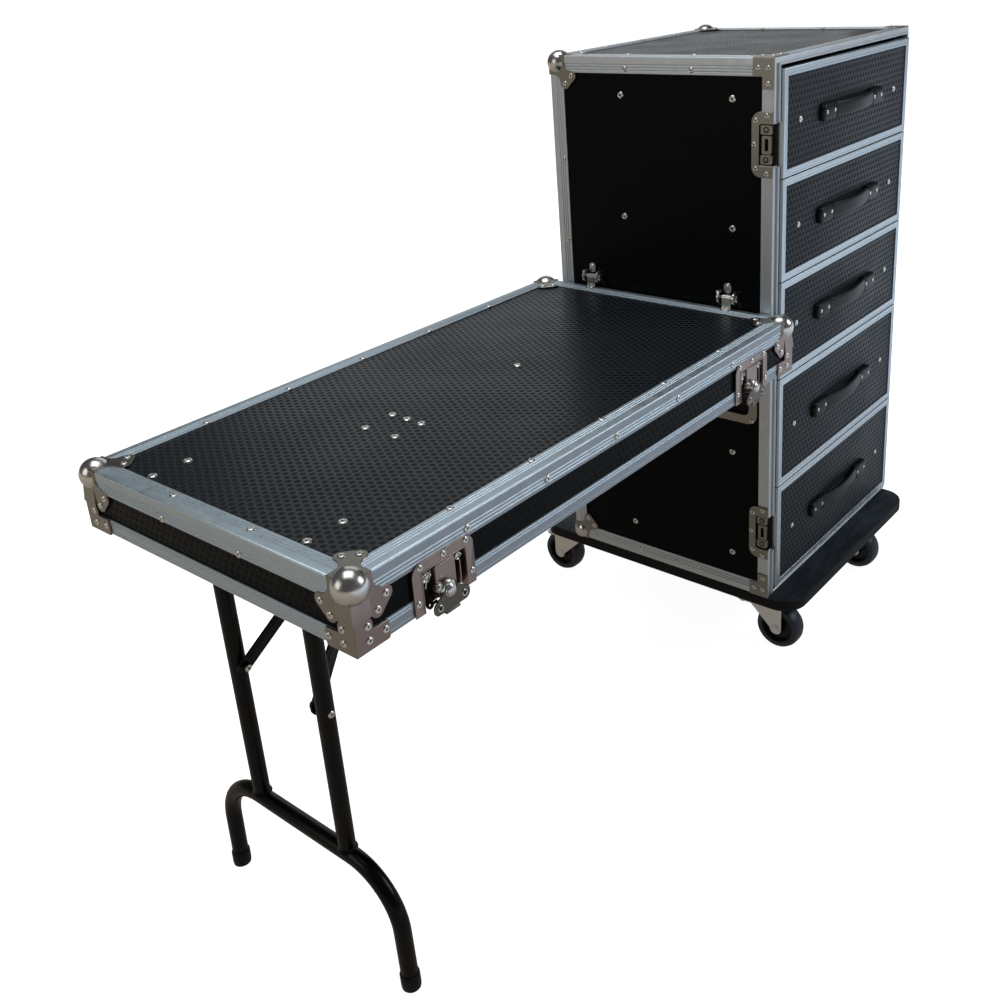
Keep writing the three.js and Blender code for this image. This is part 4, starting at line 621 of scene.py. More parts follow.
# Extrusion profiles, as (inset, depth) with the outer corner at zero
GROOVE_DEPTH = 1.2
GROOVE_HALF = 1.1
EDGE_GROOVES = (14.5, 19.3, 24.0)
EDGE_CHAMFER = 0.7
CORNER_RADIUS = 3.2


def grooved_leg():
    """Points along a leg's outer face from its corner out: flats with V grooves sunk in, then a chamfer."""
    points = []
    for place in EDGE_GROOVES:
        points += [(place - GROOVE_HALF, 0.0), (place, GROOVE_DEPTH), (place + GROOVE_HALF, 0.0)]
    return points + [(LEG - EDGE_CHAMFER, 0.0), (LEG, EDGE_CHAMFER)]


def angle_profile():
    """L section: both legs' grooved outer faces, joined by a rounded corner."""
    along = grooved_leg()
    corner = arc((CORNER_RADIUS, CORNER_RADIUS), CORNER_RADIUS, 270, 180, 5)
    return along[::-1] + corner + [(v, u) for u, v in along] + [(WALL, LEG), (WALL, WALL), (LEG, WALL)]


def seen_from(profile, base):
    """The profile with its depth measured down from a base plane."""
    return [(u, base - v) for u, v in profile]


# Front frame: flange on the side, a grooved face and the raised lip
FLANGE = 22.0
FRAME_CORNER = 2.4
LIP_START = 9.2
LIP_RISE = 5.0
LIP_CHAMFER = 1.2
INNER_WALL = 1.6
CATCH_HALF = 38.0
CATCH_LEVELS = (HEIGHT / 2 - LATCH_HALF_PITCH, HEIGHT / 2 + LATCH_HALF_PITCH)
END_FACE, END_LIP = 4.0, 2.5


def front_profile():
    flange = [(0.0, FLANGE), (0.0, 18.6), (0.5, 18.2), (0.5, 17.2), (0.0, 16.8)]
    corner = arc((FRAME_CORNER, FRAME_CORNER), FRAME_CORNER, 180, 270, 4)
    face = [(LIP_START - 1.6, 0.0), (LIP_START - 1.1, 0.7), (LIP_START, 0.4)]
    lip = [(LIP_START, LIP_CHAMFER - LIP_RISE), (LIP_START + LIP_CHAMFER, -LIP_RISE),
           (FACE - LIP_CHAMFER, -LIP_RISE), (FACE, LIP_CHAMFER - LIP_RISE)]
    inner = [(FACE, FLANGE), (FACE - INNER_WALL, FLANGE), (FACE - INNER_WALL, WALL), (WALL, WALL),
             (WALL, FLANGE)]
    return flange + corner + face + lip + inner


def strip_end(z, way):
    """Rounded end of the face and its lip beside a catch. way is the direction towards the catch."""
    solids = []
    for start, length, radii, front, bevel in ((0.2, END_FACE, (1.5, 3.5), 0.2, 0.3),
                                               (LIP_START, END_LIP, (1.9, 1.9), -LIP_RISE, 0.5)):
        radii = (0.3, 0.3) + radii if way > 0 else radii[::-1] + (0.3, 0.3)
        outline = rounded((start, FACE), sorted((z, z + way * length)), radii, 4)
        solids.append(slab(outline, (front, WALL), "y", bevel))
    return solids


def front_frame():
    profile = front_profile()
    inner_wall = [(FACE - INNER_WALL, WALL), (FACE, WALL), (FACE, FLANGE), (FACE - INNER_WALL, FLANGE)]
    solids = [bar(profile, lambda u, v, t: (t, v, u), 0.0, WIDTH, (1.0, 1.0)),
              bar(profile, lambda u, v, t: (t, v, HEIGHT - u), 0.0, WIDTH, (1.0, 1.0))]
    left = PLANES["z"]
    cuts = [(level - CATCH_HALF, level + CATCH_HALF) for level in CATCH_LEVELS]
    upright = [bar(profile, left, 0.0, cuts[0][0], (1.0, 0.0)), bar(profile, left, cuts[0][1], cuts[1][0]),
               bar(profile, left, cuts[1][1], HEIGHT, (0.0, 1.0))]
    for low, high in cuts:
        upright += [bar(inner_wall, left, low, high)] + strip_end(low, 1) + strip_end(high, -1)
    piece("front frame", solids + left_and_right(upright), ALUMINIUM, "case", ["front_frame"])


EDGING_START = FLANGE + 0.3
EDGING_ROW = LEG - 8.0


def case_edging():
    profile = angle_profile()
    solids = [bar(profile, lambda u, v, t: (u, t, v), EDGING_START, DEPTH),
              bar(profile, lambda u, v, t: (WIDTH - u, t, v), EDGING_START, DEPTH),
              bar(profile, lambda u, v, t: (u, t, HEIGHT - v), EDGING_START, DEPTH),
              bar(profile, lambda u, v, t: (WIDTH - u, t, HEIGHT - v), EDGING_START, DEPTH),
              surround(seen_from(profile, DEPTH), (0, WIDTH), (0, HEIGHT), "y")]
    piece("case edging", solids, ALUMINIUM, "case", ["case_edging"])
    row, far_row, high_row = EDGING_ROW, DEPTH - EDGING_ROW, HEIGHT - EDGING_ROW
    spots = []
    for y in (156.0, 292.0):
        spots += [((row + 4.0, y + 8.0, HEIGHT), UP), ((0.0, y, high_row), LEFT), ((0.0, y, row), LEFT)]
    for z in (190.0, 345.0, 500.0, 656.0, 812.0):
        spots += [((0.0, far_row, z), LEFT), ((row, DEPTH, z), BACK)]
    for x in (150.0, MIDDLE_X):
        spots += [((x, far_row, HEIGHT), UP), ((x, DEPTH, high_row), BACK), ((x, DEPTH, row), BACK)]
    rivets("edging rivets", spots_left_and_right(spots), "case", EDGING_RIVET)


# Ball corners: each face's plate has a band along both edges and two lobes with a rivet each
BALL_RADIUS, BALL_INSET = 22.0, 13.0
LOBES = ((49.5, 35.5), (35.5, 49.5))
LOBE_RADIUS = 10.0
BAND_LENGTH, BAND_TIP = 34.0, 5.0
PLATE_RISE = 1.3
PLATE_LOW = 0.15 - PLATE_RISE


def corner_plate_outline():
    fillet = LOBES[0][0] - BAND_LENGTH
    waist = arc((LOBES[0][0], LOBES[0][1] - LOBE_RADIUS - fillet), fillet, 180, 90, 8)
    lobes = arc(LOBES[0], LOBE_RADIUS, -90, 60, 10)[1:] + arc(LOBES[1], LOBE_RADIUS, 30, 180, 10)[:-1]
    start = [(BAND_TIP, PLATE_LOW), (BAND_LENGTH, PLATE_LOW)]
    return start + waist + lobes + [(v, u) for u, v in waist[::-1] + start[::-1]]


def ball_corner(corner, inward):
    """Plates, rivet spots and ball of one corner. inward is the direction into the case along each axis."""
    place, way = np.array(corner, float), np.array(inward, float)
    plates, spots = [], []
    for axis, others in enumerate(((1, 2), (0, 2), (0, 1))):
        plates.append(slab(corner_plate_outline(), (-PLATE_RISE, WALL * 0.6), "xyz"[axis], 0.6))
        facing = np.zeros(3)
        facing[axis] = -1.0
        for lobe in LOBES:
            spot = facing * PLATE_RISE
            spot[list(others)] = lobe
            spots.append((spot * way + place, facing * way))
    around = np.radians(np.linspace(2, 178, 23))
    profile = [(BALL_RADIUS * math.sin(a), -BALL_RADIUS * math.cos(a)) for a in around]
    ball = turned(profile, (BALL_INSET,) * 3, "z", 40)
    plates, ball = (reshaped(group, lambda points: points * way + place) for group in (plates, [ball]))
    return plates, spots, ball


def corners(name, places, body, clip=-math.inf):
    """Ball corners of a case half. Nothing of them stands below the clip's height."""
    plates, spots, balls = (sum(group, []) for group in zip(*(ball_corner(*place) for place in places)))
    for label, solids, finish in (("plates", plates, ZINC_PLATED_FRONT_REFLECTION), ("balls", balls, CHROME)):
        solids = reshaped(solids, lambda points: np.maximum(points, (-math.inf, -math.inf, clip)))
        piece(f"{name} {label}", solids, finish, body)
    spots = [spot for spot in spots if spot[1][2] > -0.5 or clip == -math.inf]
    rivets(f"{name} rivets", spots, body, CORNER_RIVET)


BOARD_CLEARANCE = 0.1


def case_corners():
    places = [((x, DEPTH, z), (way_x, -1, way_z)) for x, way_x in ((0.0, 1), (WIDTH, -1))
              for z, way_z in ((0.0, 1), (HEIGHT, -1))]
    corners("case corner", places, "case", clip=BOARD_CLEARANCE)


CORNER_ARM, CORNER_ARM_WIDTH = 39.0, 28.5
CORNER_LENGTH, CORNER_WIDTH = 50.0, 21.8
CORNER_HOLES = ((28.8, 16.2), (10.6, 16.2), (10.6, 41.2))
CORNER_RISE, CORNER_SINK, CORNER_GAP = 1.5, 0.2, 0.3


def front_corner_plates():
    """L plates on the sides and the top at the front frame's corners, three rivets each."""
    outline = [(CORNER_GAP, CORNER_GAP), (CORNER_ARM, CORNER_GAP), (CORNER_ARM, CORNER_ARM_WIDTH),
               (CORNER_WIDTH, CORNER_ARM_WIDTH), (CORNER_WIDTH, CORNER_LENGTH), (CORNER_GAP, CORNER_LENGTH)]
    plates, spots = [], []
    for z, way in ((0.0, 1), (HEIGHT, -1)):
        plates.append(slab([(u, z + way * v) for u, v in outline], (-CORNER_RISE, CORNER_SINK), "x"))
        spots += [((-CORNER_RISE, y, z + way * v), LEFT) for y, v in CORNER_HOLES]
    plates.append(slab([(v, u) for u, v in outline], (HEIGHT - CORNER_SINK, HEIGHT + CORNER_RISE), "z"))
    spots += [((v, y, HEIGHT + CORNER_RISE), UP) for y, v in CORNER_HOLES]
    piece("front corner plates", left_and_right(plates), ZINC_PLATED_FRONT_REFLECTION, "case")
    rivets("front corner rivets", spots_left_and_right(spots), "case", FRONT_CORNER_RIVET)


# Catch plates in the case's sides: a flange round an open dish with two ringed blocks and a slotted plate
CATCH_START, CATCH_WIDTH, CATCH_TALL_HALF, CATCH_ROUND = 0.3, 40.0, 54.0, 17.0
CATCH_DISH_WIDTH, CATCH_DISH_HALF, CATCH_DISH_ROUND = 27.0, 34.0, 5.0
CATCH_RISE, CATCH_DISH_DEPTH = 2.4, 11.0
CATCH_RIVETS = ((12.0, 47.5), (32.0, 39.5), (35.2, 0.5), (32.0, -39.5), (12.0, -47.5))
CATCH_BLOCK, CATCH_BLOCK_Y = 24.5, 14.5


def catch_outline(level):
    outer = rounded((CATCH_START, CATCH_WIDTH), (level - CATCH_TALL_HALF, level + CATCH_TALL_HALF),
                    (0.8, CATCH_ROUND, CATCH_ROUND, 0.8), 6)
    low, high = level - CATCH_DISH_HALF, level + CATCH_DISH_HALF
    r, u = CATCH_DISH_ROUND, CATCH_DISH_WIDTH - CATCH_DISH_ROUND
    notch = [(CATCH_START, high)] + arc((u, high - r), r, 90, 0, 4)
    return outer + notch + arc((u, low + r), r, 0, -90, 4) + [(CATCH_START, low)]


def catch_plates():
    plates, dark, inner, spots = [], [], [], []
    depth, back = (-2.0, CATCH_DISH_DEPTH), (0.6, 28.2)
    for level in CATCH_LEVELS:
        low, high = level - CATCH_DISH_HALF, level + CATCH_DISH_HALF
        plates.append(slab(catch_outline(level), (-CATCH_RISE, -0.3), "x", 0.5))
        inner += [block(depth, (26.5, 28.2), (low, high), 0.2), block(depth, back, (low - 1.4, low), 0.2),
                  block(depth, back, (high, high + 1.4), 0.2)]
        # Painted shade: a near black strip at the back of the open dish
        dark.append(block((9.8, 11.2), back, (low, high), 0.2))
        for base in (level - CATCH_BLOCK, level + CATCH_BLOCK):
            inner.append(slab(rounded((4.5, 25.5), (base - 8.5, base + 8.5), 3.0, 4), (0.6, 10.2), "x", 1.0))
            # Painted shade: a near black disc behind each button
            dark.append(turned([(5.0, 0.8), (5.0, 0.2), (0.2, 0.2)], (0.0, CATCH_BLOCK_Y, base), "x", 24))
            button = [(3.2, 0.6), (3.0, -0.1), (1.6, -0.3), (0.2, -0.3)]
            inner.append(turned(button, (0.2, CATCH_BLOCK_Y, base), "x", 20))
        plate = rounded((5.0, 22.0), (level - 15.0, level + 15.0), 2.6, 4)
        slot = rounded((10.2, 16.8), (level - 10.0, level + 10.0), 1.2, 4)
        inner.append(hollow_plate(plate, slot, (0.2, 4.0), "x"))
        spots += [((-CATCH_RISE, y, level + v), LEFT) for y, v in CATCH_RIVETS]
    names = [f"catch_plate_{side}_{level}" for side in ("left", "right") for level in ("lower", "upper")]
    piece("catch plates", left_and_right(plates), ZINC_PLATED_FRONT_REFLECTION, "case", names)
    piece("catch plate dishes", left_and_right(inner), ZINC_PLATED_FRONT_REFLECTION, "case")
    piece("catch plate hollows", left_and_right(dark), HOLLOW_SHADE, "case")
    rivets("catch plate rivets", spots_left_and_right(spots), "case", FLANGE_RIVET)


# Recessed bail handles
DISH_Y, DISH_Z = span("handle_dish_left")[1:]
DISH_MIDDLE_Y, DISH_MIDDLE_Z = sum(DISH_Y) / 2, sum(DISH_Z) / 2
DISH_FLANGE, DISH_ROUND, PAN_ROUND = 17.0, 20.0, 10.0
BAIL_X, BAIL_REACH, BAIL_DROP, BAIL_BEND = 3.5, 52.0, 62.0, 9.0
BAIL_AXIS = DISH_Z[1] - DISH_FLANGE - 16.0
BAIL_WIRE, BAIL_GRIP = 3.5, 5.2
KNUCKLE, KNUCKLE_HALF, KNUCKLE_RADIUS = 32.0, 7.0, 5.4


def bail():
    """Wire loop: down from the axis, round two bends and back, with a sleeve round its grip."""
    start, end, low = DISH_MIDDLE_Y - BAIL_REACH, DISH_MIDDLE_Y + BAIL_REACH, BAIL_AXIS - BAIL_DROP
    bend = start + BAIL_BEND
    half = [(bend, BAIL_AXIS)] + arc((bend, BAIL_AXIS - BAIL_BEND), BAIL_BEND, 90, 180, 6)
    half += arc((bend, low + BAIL_BEND), BAIL_BEND, 180, 270, 6)
    outline = half + [(2 * DISH_MIDDLE_Y - u, v) for u, v in half[::-1]] + [(bend + 0.5, BAIL_AXIS)]
    wire = tube(placed(PLANES["x"], outline, BAIL_X), BAIL_WIRE, 14)
    return [wire, rod((BAIL_X, start + 14, low), (BAIL_X, end - 14, low), BAIL_GRIP, 20, 1.2)]


def handle_dishes():
    outer = rounded(DISH_Y, DISH_Z, DISH_ROUND, 6)
    pan_y, pan_z = within(DISH_Y, DISH_FLANGE), within(DISH_Z, DISH_FLANGE)
    pan = rounded(pan_y, pan_z, PAN_ROUND, 6)
    steps = ((outer, 0.0, 1.8), (outer, 0.0, 0.4), (outer, 0.4, 0.0), (pan, -0.8, 0.0), (pan, 0.0, 0.8),
             (pan, 1.2, 9.6), (pan, 0.0, 10.9), (pan, -1.4, 10.9), (pan, -1.4, 1.8))
    rings = [placed(PLANES["x"], inset(outline, narrow), x) for outline, narrow, x in steps]
    flange = loft(rings, loop=True)
    # The pan's floor is near black: painted shade in the dish
    floor = slab(rounded(within(pan_y, 1.0), within(pan_z, 1.0), PAN_ROUND - 1.0, 5), (9.4, 10.8), "x", 0.2)
    spots = [((0.0, u, v), LEFT) for u in (DISH_Y[0] + 10.0, DISH_MIDDLE_Y, DISH_Y[1] - 10.0)
             for v in within(DISH_Z, 8.0)]
    spots += [((0.0, u, v), LEFT) for v in (DISH_MIDDLE_Z - 26.0, DISH_MIDDLE_Z + 26.0)
              for u in within(DISH_Y, 8.0)]
    knuckles = []
    for side in (-1, 1):
        at = DISH_MIDDLE_Y + side * KNUCKLE
        y = (at - KNUCKLE_HALF, at + KNUCKLE_HALF)
        z = (BAIL_AXIS - KNUCKLE_RADIUS, BAIL_AXIS + KNUCKLE_RADIUS)
        knuckles.append(rod((BAIL_X, y[0], BAIL_AXIS), (BAIL_X, y[1], BAIL_AXIS), KNUCKLE_RADIUS, 24))
        knuckles.append(block((BAIL_X, 10.2), y, z, 0.3))
        knuckles.append(coil((BAIL_X, at - side * 8.0, BAIL_AXIS), 4.7, 6, -side * 1.35, 0.55, 96, 6))
    nodes = ["handle_dish_left", "handle_dish_right"]
    piece("handle dishes", left_and_right([flange]), ZINC_PLATED_FRONT_REFLECTION, "case", nodes)
    piece("handle dish floors", left_and_right([floor]), HOLLOW_SHADE, "case")
    piece("handle dish knuckles", left_and_right(knuckles), ZINC_PLATED_FRONT_REFLECTION, "case")
    rivets("handle dish rivets", spots_left_and_right(spots), "case", FLANGE_RIVET)
    left = bail()
    piece("left bail", left, ZINC_PLATED_FRONT_REFLECTION, "bail_left", ["handle_bail_left"])
    right = mirrored(left, 0, MIDDLE_X)
    piece("right bail", right, ZINC_PLATED_FRONT_REFLECTION, "bail_right", ["handle_bail_right"])


def side_screws():
    """Screws through the sides into the runner battens."""
    places = [(PANEL_FACE, y, z) for y in (78.0, 304.0) for z in (77.0, 290.0, 502.0, 714.0, 933.0)]
    spots = spots_left_and_right([(place, LEFT) for place in places])
    rivets("side screws", spots, "case", SIDE_SCREW)


# Table brackets: a back plate, two ears with a pin, a round nut and a stop lug; the lid carries the hooks
PIN_X, PIN_Z = -8.0, LID_TOP + 20.0
BRACKET_Y = 148.0
EAR_RADIUS, EAR_PLACE, EAR_HALF = 11.0, 15.0, 2.0
HOOK_OUTER, HOOK_INNER, HOOK_HALF, HOOK_FOOT = 5.3, 3.4, 9.0, 1.9


def table_bracket(y):
    """Tab with a bolt, two ears, their pin with its hexagonal head and round nut, and the stop lug."""
    solids = [slab(rounded((y - 3.0, y + 11.0), (PIN_Z + 6.0, PIN_Z + 24.0), 5.0, 5), (-1.6, -0.1), "x")]
    ear = [(1.6, PIN_Z + EAR_RADIUS)] + arc((PIN_X, PIN_Z), EAR_RADIUS, 90, 270, 10)
    ear += [(1.6, PIN_Z - EAR_RADIUS)]
    for at in (y - EAR_PLACE, y + EAR_PLACE):
        solids.append(slab(ear, (at - EAR_HALF, at + EAR_HALF), "y", 0.5))
    for start, end, radius, sides, bevel in ((-19.0, 19.0, 3.0, 18, 0.6), (-21.0, -17.2, 6.5, 6, 0.6),
                                             (17.2, 20.0, 5.2, 20, 0.8)):
        solids.append(rod((PIN_X, y + start, PIN_Z), (PIN_X, y + end, PIN_Z), radius, sides, bevel))
    return solids + [block((-7.0, 0.4), (y + 19.5, y + 24.5), (PIN_Z - 2.0, PIN_Z + 9.0), 1.0)]


def lid_hook(y):
    """Strap bent over the pin, its foot on the lid's top and two screw heads."""
    outer, inner = ([(PIN_X - radius, LID_TOP - 0.5)] + arc((PIN_X, PIN_Z), radius, 180, 0, 10)
                    + [(PIN_X + radius, PIN_Z - 5.0)] for radius in (HOOK_OUTER, HOOK_INNER))
    wide = (y - HOOK_HALF, y + HOOK_HALF)
    strap = slab(outer + inner[::-1], wide, "y", 0.3)
    foot = rounded((PIN_X - 15.0, PIN_X - HOOK_INNER), wide, (4.0, 0.5, 0.5, 4.0), 5)
    heads = [dome((PIN_X - 10.0, at, LID_TOP + HOOK_FOOT), UP, 2.6, 1.4) for at in (y - 4.5, y + 4.5)]
    return [strap, slab(foot, (LID_TOP, LID_TOP + HOOK_FOOT), "z")] + heads


def table_brackets():
    for name, y in (("front", MIDDLE_Y - BRACKET_Y), ("rear", MIDDLE_Y + BRACKET_Y)):
        plate = slab(rounded((y - 25.0, y + 25.0), (PIN_Z - 25.0, PIN_Z + 11.0), 5.0, 5), (0.0, 2.0), "x")
        bolt = dome((0.2, y + 4.0, PIN_Z + 17.5), LEFT, 4.6, 4.2, 20)
        nodes = [f"table_bracket_{name}"]
        # The back plate is coloured black, with the same material as the leg
        piece(f"{name} table bracket plate", [plate], POWDER_COAT, "case")
        piece(f"{name} table bracket", table_bracket(y), RIVET_NICKEL, "case", nodes)
        piece(f"{name} bracket bolt", [bolt], RIVET_NICKEL, "case")
        piece(f"{name} lid hook", lid_hook(y), CHROME, "lid")


# Drawers
DRAWER_X = span("drawer_1_front")[0]
FRONT_PLANE = -9.5
PANEL_PLANE = FRONT_PLANE + 1.7
BOLT_PLACE = 192.0
HANDLE_LENGTH, HANDLE_BOW = 250.0, 9.0
HANDLE_CAP, CAP_DEPTH, CAP_HALF, CAP_ROUND = 52.0, 10.0, 15.6, 11.0
CAP_STEPS = ((0.0, 0.0), (0.0, 5.0), (0.9, 7.6), (2.6, 9.3), (4.6, CAP_DEPTH))
CAP_RIVETS = (112.0, 82.0)
HANDLE_SEAT = FRONT_PLANE + 1.2
GRIP_THICK, GRIP_TALL, GRIP_WAIST, GRIP_ROUNDNESS = 4.4, 13.6, 0.4, 0.6


def drawer_frame_profile():
    """Angle round the front: an outer leg along the edge and a grooved flange in front."""
    front = FRONT_PLANE
    outer = [(0.0, 1.5), (0.0, front + 1.2)] + arc((1.2, front + 1.2), 1.2, 180, 270, 3)[1:]
    flange = [(3.2, front), (3.8, front + 0.5), (8.6, front + 0.5), (9.2, front), (12.4, front),
              (13.0, front + 0.5)]
    return outer + flange + [(13.0, front + 1.6), (1.4, front + 1.6), (1.4, 1.5)]


def grip(level):
    """Grip that bows out by bow * cos(s pi / 2) over s from -1 to 1. Its section is the superellipse
    (thick * cos(a) ** roundness, tall * sin(a) ** roundness), square to the bow and a little lower in the
    middle."""
    share, angle = np.linspace(-1, 1, 33)[:, None], np.linspace(0, 2 * math.pi, 28, endpoint=False)
    reach = HANDLE_LENGTH / 2 - HANDLE_CAP + 8.0
    swell = np.cos(share * math.pi / 2)
    lean = np.arctan(HANDLE_BOW * np.sin(share * math.pi / 2) * math.pi / 2 / reach)
    waves = (np.cos(angle), np.sin(angle))
    across, upright = (np.copysign(np.abs(wave) ** GRIP_ROUNDNESS, wave) for wave in waves)
    x = MIDDLE_X + share * reach - GRIP_THICK * across * np.sin(lean)
    y = HANDLE_SEAT - 5.0 - HANDLE_BOW * swell - GRIP_THICK * across * np.cos(lean)
    return loft(np.stack([x, y, level + (GRIP_TALL - GRIP_WAIST * swell) * upright], -1))


def strap_handle(level):
    """End caps with rounded ends and a collar each, and the grip between them."""
    solids, spots = [], []
    for side in (-1, 1):
        end, start = MIDDLE_X + side * HANDLE_LENGTH / 2, MIDDLE_X + side * (HANDLE_LENGTH / 2 - HANDLE_CAP)
        radii = (CAP_ROUND, 2.0, 2.0, CAP_ROUND) if side < 0 else (2.0, CAP_ROUND, CAP_ROUND, 2.0)
        outline = rounded(sorted((end, start)), (level - CAP_HALF, level + CAP_HALF), radii, 6)
        solids.append(stepped(outline, [(narrow, HANDLE_SEAT - depth) for narrow, depth in CAP_STEPS], "y"))
        collar = rounded((start - 1.4, start + 1.4), (level - 15.0, level + 15.0), 1.2, 3)
        solids.append(slab(collar, (HANDLE_SEAT - CAP_DEPTH + 0.2, HANDLE_SEAT), "y", 1.0))
        spots += [((MIDDLE_X + side * at, HANDLE_SEAT - CAP_DEPTH + 0.1, level), FRONT) for at in CAP_RIVETS]
    return solids + [grip(level)], spots


def drawers():
    for number in range(1, 6):
        body = f"drawer_{number}"
        z = span(f"drawer_{number}_front")[2]
        level = sum(z) / 2
        edge = surround(drawer_frame_profile(), DRAWER_X, z, "y")
        piece(f"drawer {number} frame", [edge], DRAWER_ALUMINIUM, body, [f"{body}_front"])
        panel = block(within(DRAWER_X, 1.5), (PANEL_PLANE, 1.4), within(z, 1.5), 0.2)
        piece(f"drawer {number} panel", [panel], DRAWER_LAMINATE_PAINTED_LIGHT, body)
        handle, spots = strap_handle(level)
        piece(f"drawer {number} handle", handle, POLYAMIDE, body, [f"{body}_handle"])
        rivets(f"drawer {number} handle rivets", spots, body, HANDLE_RIVET)
        bolts = []
        for x in (MIDDLE_X - BOLT_PLACE, MIDDLE_X + BOLT_PLACE):
            collar = [(5.2, 0.4), (5.2, -0.7), (4.6, -1.1), (3.4, -1.2)]
            bolts += [turned(collar, (x, PANEL_PLANE, level), "y", 20),
                      dome((x, PANEL_PLANE - 0.9, level), FRONT, 3.6, 2.2, 18)]
        piece(f"drawer {number} bolts", bolts, RIVET_NICKEL, body)


# Lid
RIVET_WIDE, RIVET_NEAR = LEG - 4.5, LEG - 11.0
RIM_GROOVES = ((0.0, RIM_HEIGHT), (0.0, 23.2), (1.4, 22.1), (0.0, 21.0), (0.0, 19.2), (1.4, 18.1),
               (0.0, 17.0), (0.0, 15.6), (0.6, 15.2), (0.6, 6.6), (0.0, 6.2))
RIM_INNER = ((FACE - 0.6, 0.0), (FACE, 0.6), (FACE, 16.0), (FACE - 1.4, 16.0), (FACE - 1.4, 1.8), (2.0, 1.8),
             (2.0, RIM_HEIGHT))
RIM_ROUND = 3.4
MOUTH_HALF = 36.0


def lid_edging():
    top = surround(seen_from(angle_profile(), LID_TOP), LID_X, LID_Y, "z")
    piece("lid top edging", [top], LID_ALUMINIUM_PAINTED_LIGHT, "lid", ["lid_edging"])
    spots = []
    for x in (-821.0, -669.0, -516.0, -360.0, -202.0):
        spots += [((x, LID_Y[0] + RIVET_WIDE, LID_TOP), UP), ((x, LID_Y[0], LID_TOP - RIVET_NEAR), FRONT)]
    spots += mirrored_spots(spots, 1, MIDDLE_Y)
    rivets("lid long edge rivets", spots, "lid", EDGING_RIVET)
    spots = []
    for y in (MIDDLE_Y - 79.0, MIDDLE_Y + 79.0):
        spots += [((LID_X[0] + RIVET_NEAR, y, LID_TOP), UP),
                  ((LID_X[0], y + 4.0, LID_TOP - RIVET_WIDE), LEFT)]
    rivets("lid short edge rivets", spots, "lid", EDGING_RIVET)


def lid_rim():
    """Rim round the lid's mouth, its long sides cut for the latch dishes."""
    profile = RIM_GROOVES + tuple(arc((RIM_ROUND, RIM_ROUND), RIM_ROUND, 180, 270, 5)) + RIM_INNER
    profile = [(u, LID_LOW + v) for u, v in profile]
    outer, inner = (LATCHES[name] for name in ("outer", "inner"))
    solids = []
    for end, way in ((0, 1), (1, -1)):
        def long_side(u, v, t):
            return t, LID_Y[end] + way * u, v

        def short_side(u, v, t):
            return LID_X[end] + way * u, t, v
        solids += [bar(profile, long_side, LID_X[0], outer - MOUTH_HALF, (1.0, 0.0)),
                   bar(profile, long_side, outer + MOUTH_HALF, inner - MOUTH_HALF),
                   bar(profile, long_side, inner + MOUTH_HALF, LID_X[1], (0.0, 1.0)),
                   bar(profile, short_side, LID_Y[0], LID_Y[1], (1.0, 1.0))]
    piece("lid rim", solids, LID_ALUMINIUM_PAINTED_LIGHT, "lid", ["lid_rim"])


BRACE_LENGTH, BRACE_HEIGHT, BRACE_ROUND = 48.0, 24.5, 3.0
TAB_WIDTH, TAB_HEIGHT, TAB_ROUND = 25.0, 41.0, 8.0
COVER_RISE, COVER_SINK, COVER_START = 2.4, 0.3, -1.0
# Section of the fold that joins two braces, and height and reach of the ramp round the lid's corner
FOLD = ((-2.35, 0.2), (-2.35, -1.4), (-1.4, -2.35), (0.2, -2.35), (0.6, 0.6))
RAMP = ((65.0, 0.9), (63.0, 1.4), (42.0, 3.2), (40.5, 3.2))
COVER_RIVETS = ((17.5, 31.0), (17.5, 13.0), (42.0, 14.0))


def brace_outline(start, way):
    """Plate at the foot of a lid corner: a low arm with a taller tab beside the corner."""
    r, tab = BRACE_ROUND, TAB_ROUND
    outline = [(COVER_START, 0.0)] + arc((BRACE_LENGTH - r, r), r, 270, 360, 3)
    outline += arc((BRACE_LENGTH - r, BRACE_HEIGHT - r), r, 0, 90, 3) + [(TAB_WIDTH, BRACE_HEIGHT)]
    outline += arc((TAB_WIDTH - tab, TAB_HEIGHT - tab), tab, 0, 90, 5) + [(COVER_START, TAB_HEIGHT)]
    return [(start + way * u, LID_LOW + v) for u, v in outline]


def ramp(x, y, way_x, way_y):
    """Angle round the lid's vertical corner that stands further out towards its foot."""
    rings = []
    for height, out in RAMP:
        section = ((-out, -out), (TAB_WIDTH, -out), (TAB_WIDTH, 0.4), (0.4, 0.4), (0.4, TAB_WIDTH),
                   (-out, TAB_WIDTH))
        section = np.array(section) * (way_x, way_y) + (x, y)
        rings.append(placed(PLANES["z"], section, LID_LOW + height))
    return loft(rings)


def lid_corners():
    places, covers, spots = [], [], []
    for x, way_x in ((LID_X[0], 1), (LID_X[1], -1)):
        for y, way_y in ((LID_Y[0], 1), (LID_Y[1], -1)):
            places.append(((x, y, LID_TOP), (way_x, way_y, -1)))
            out_x, out_y = x - way_x * COVER_RISE, y - way_y * COVER_RISE
            covers.append(slab(brace_outline(x, way_x), (out_y, y + way_y * COVER_SINK), "y", 0.5))
            covers.append(slab(brace_outline(y, way_y), (out_x, x + way_x * COVER_SINK), "x", 0.5))
            covers.append(ramp(x, y, way_x, way_y))
            fold = np.array(FOLD) * (way_x, way_y) + (x, y)
            covers.append(slab(fold, (LID_LOW, LID_LOW + TAB_HEIGHT), "z", 0.3))
            for at, level in COVER_RIVETS:
                spots += [((x + way_x * at, out_y, LID_LOW + level), (0, -way_y, 0)),
                          ((out_x, y + way_y * at, LID_LOW + level), (-way_x, 0, 0))]
    corners("lid corner", places, "lid")
    piece("lid corner covers", covers, ZINC_PLATED_FRONT_REFLECTION, "lid")
    rivets("lid corner foot rivets", spots, "lid", FOOT_RIVET)


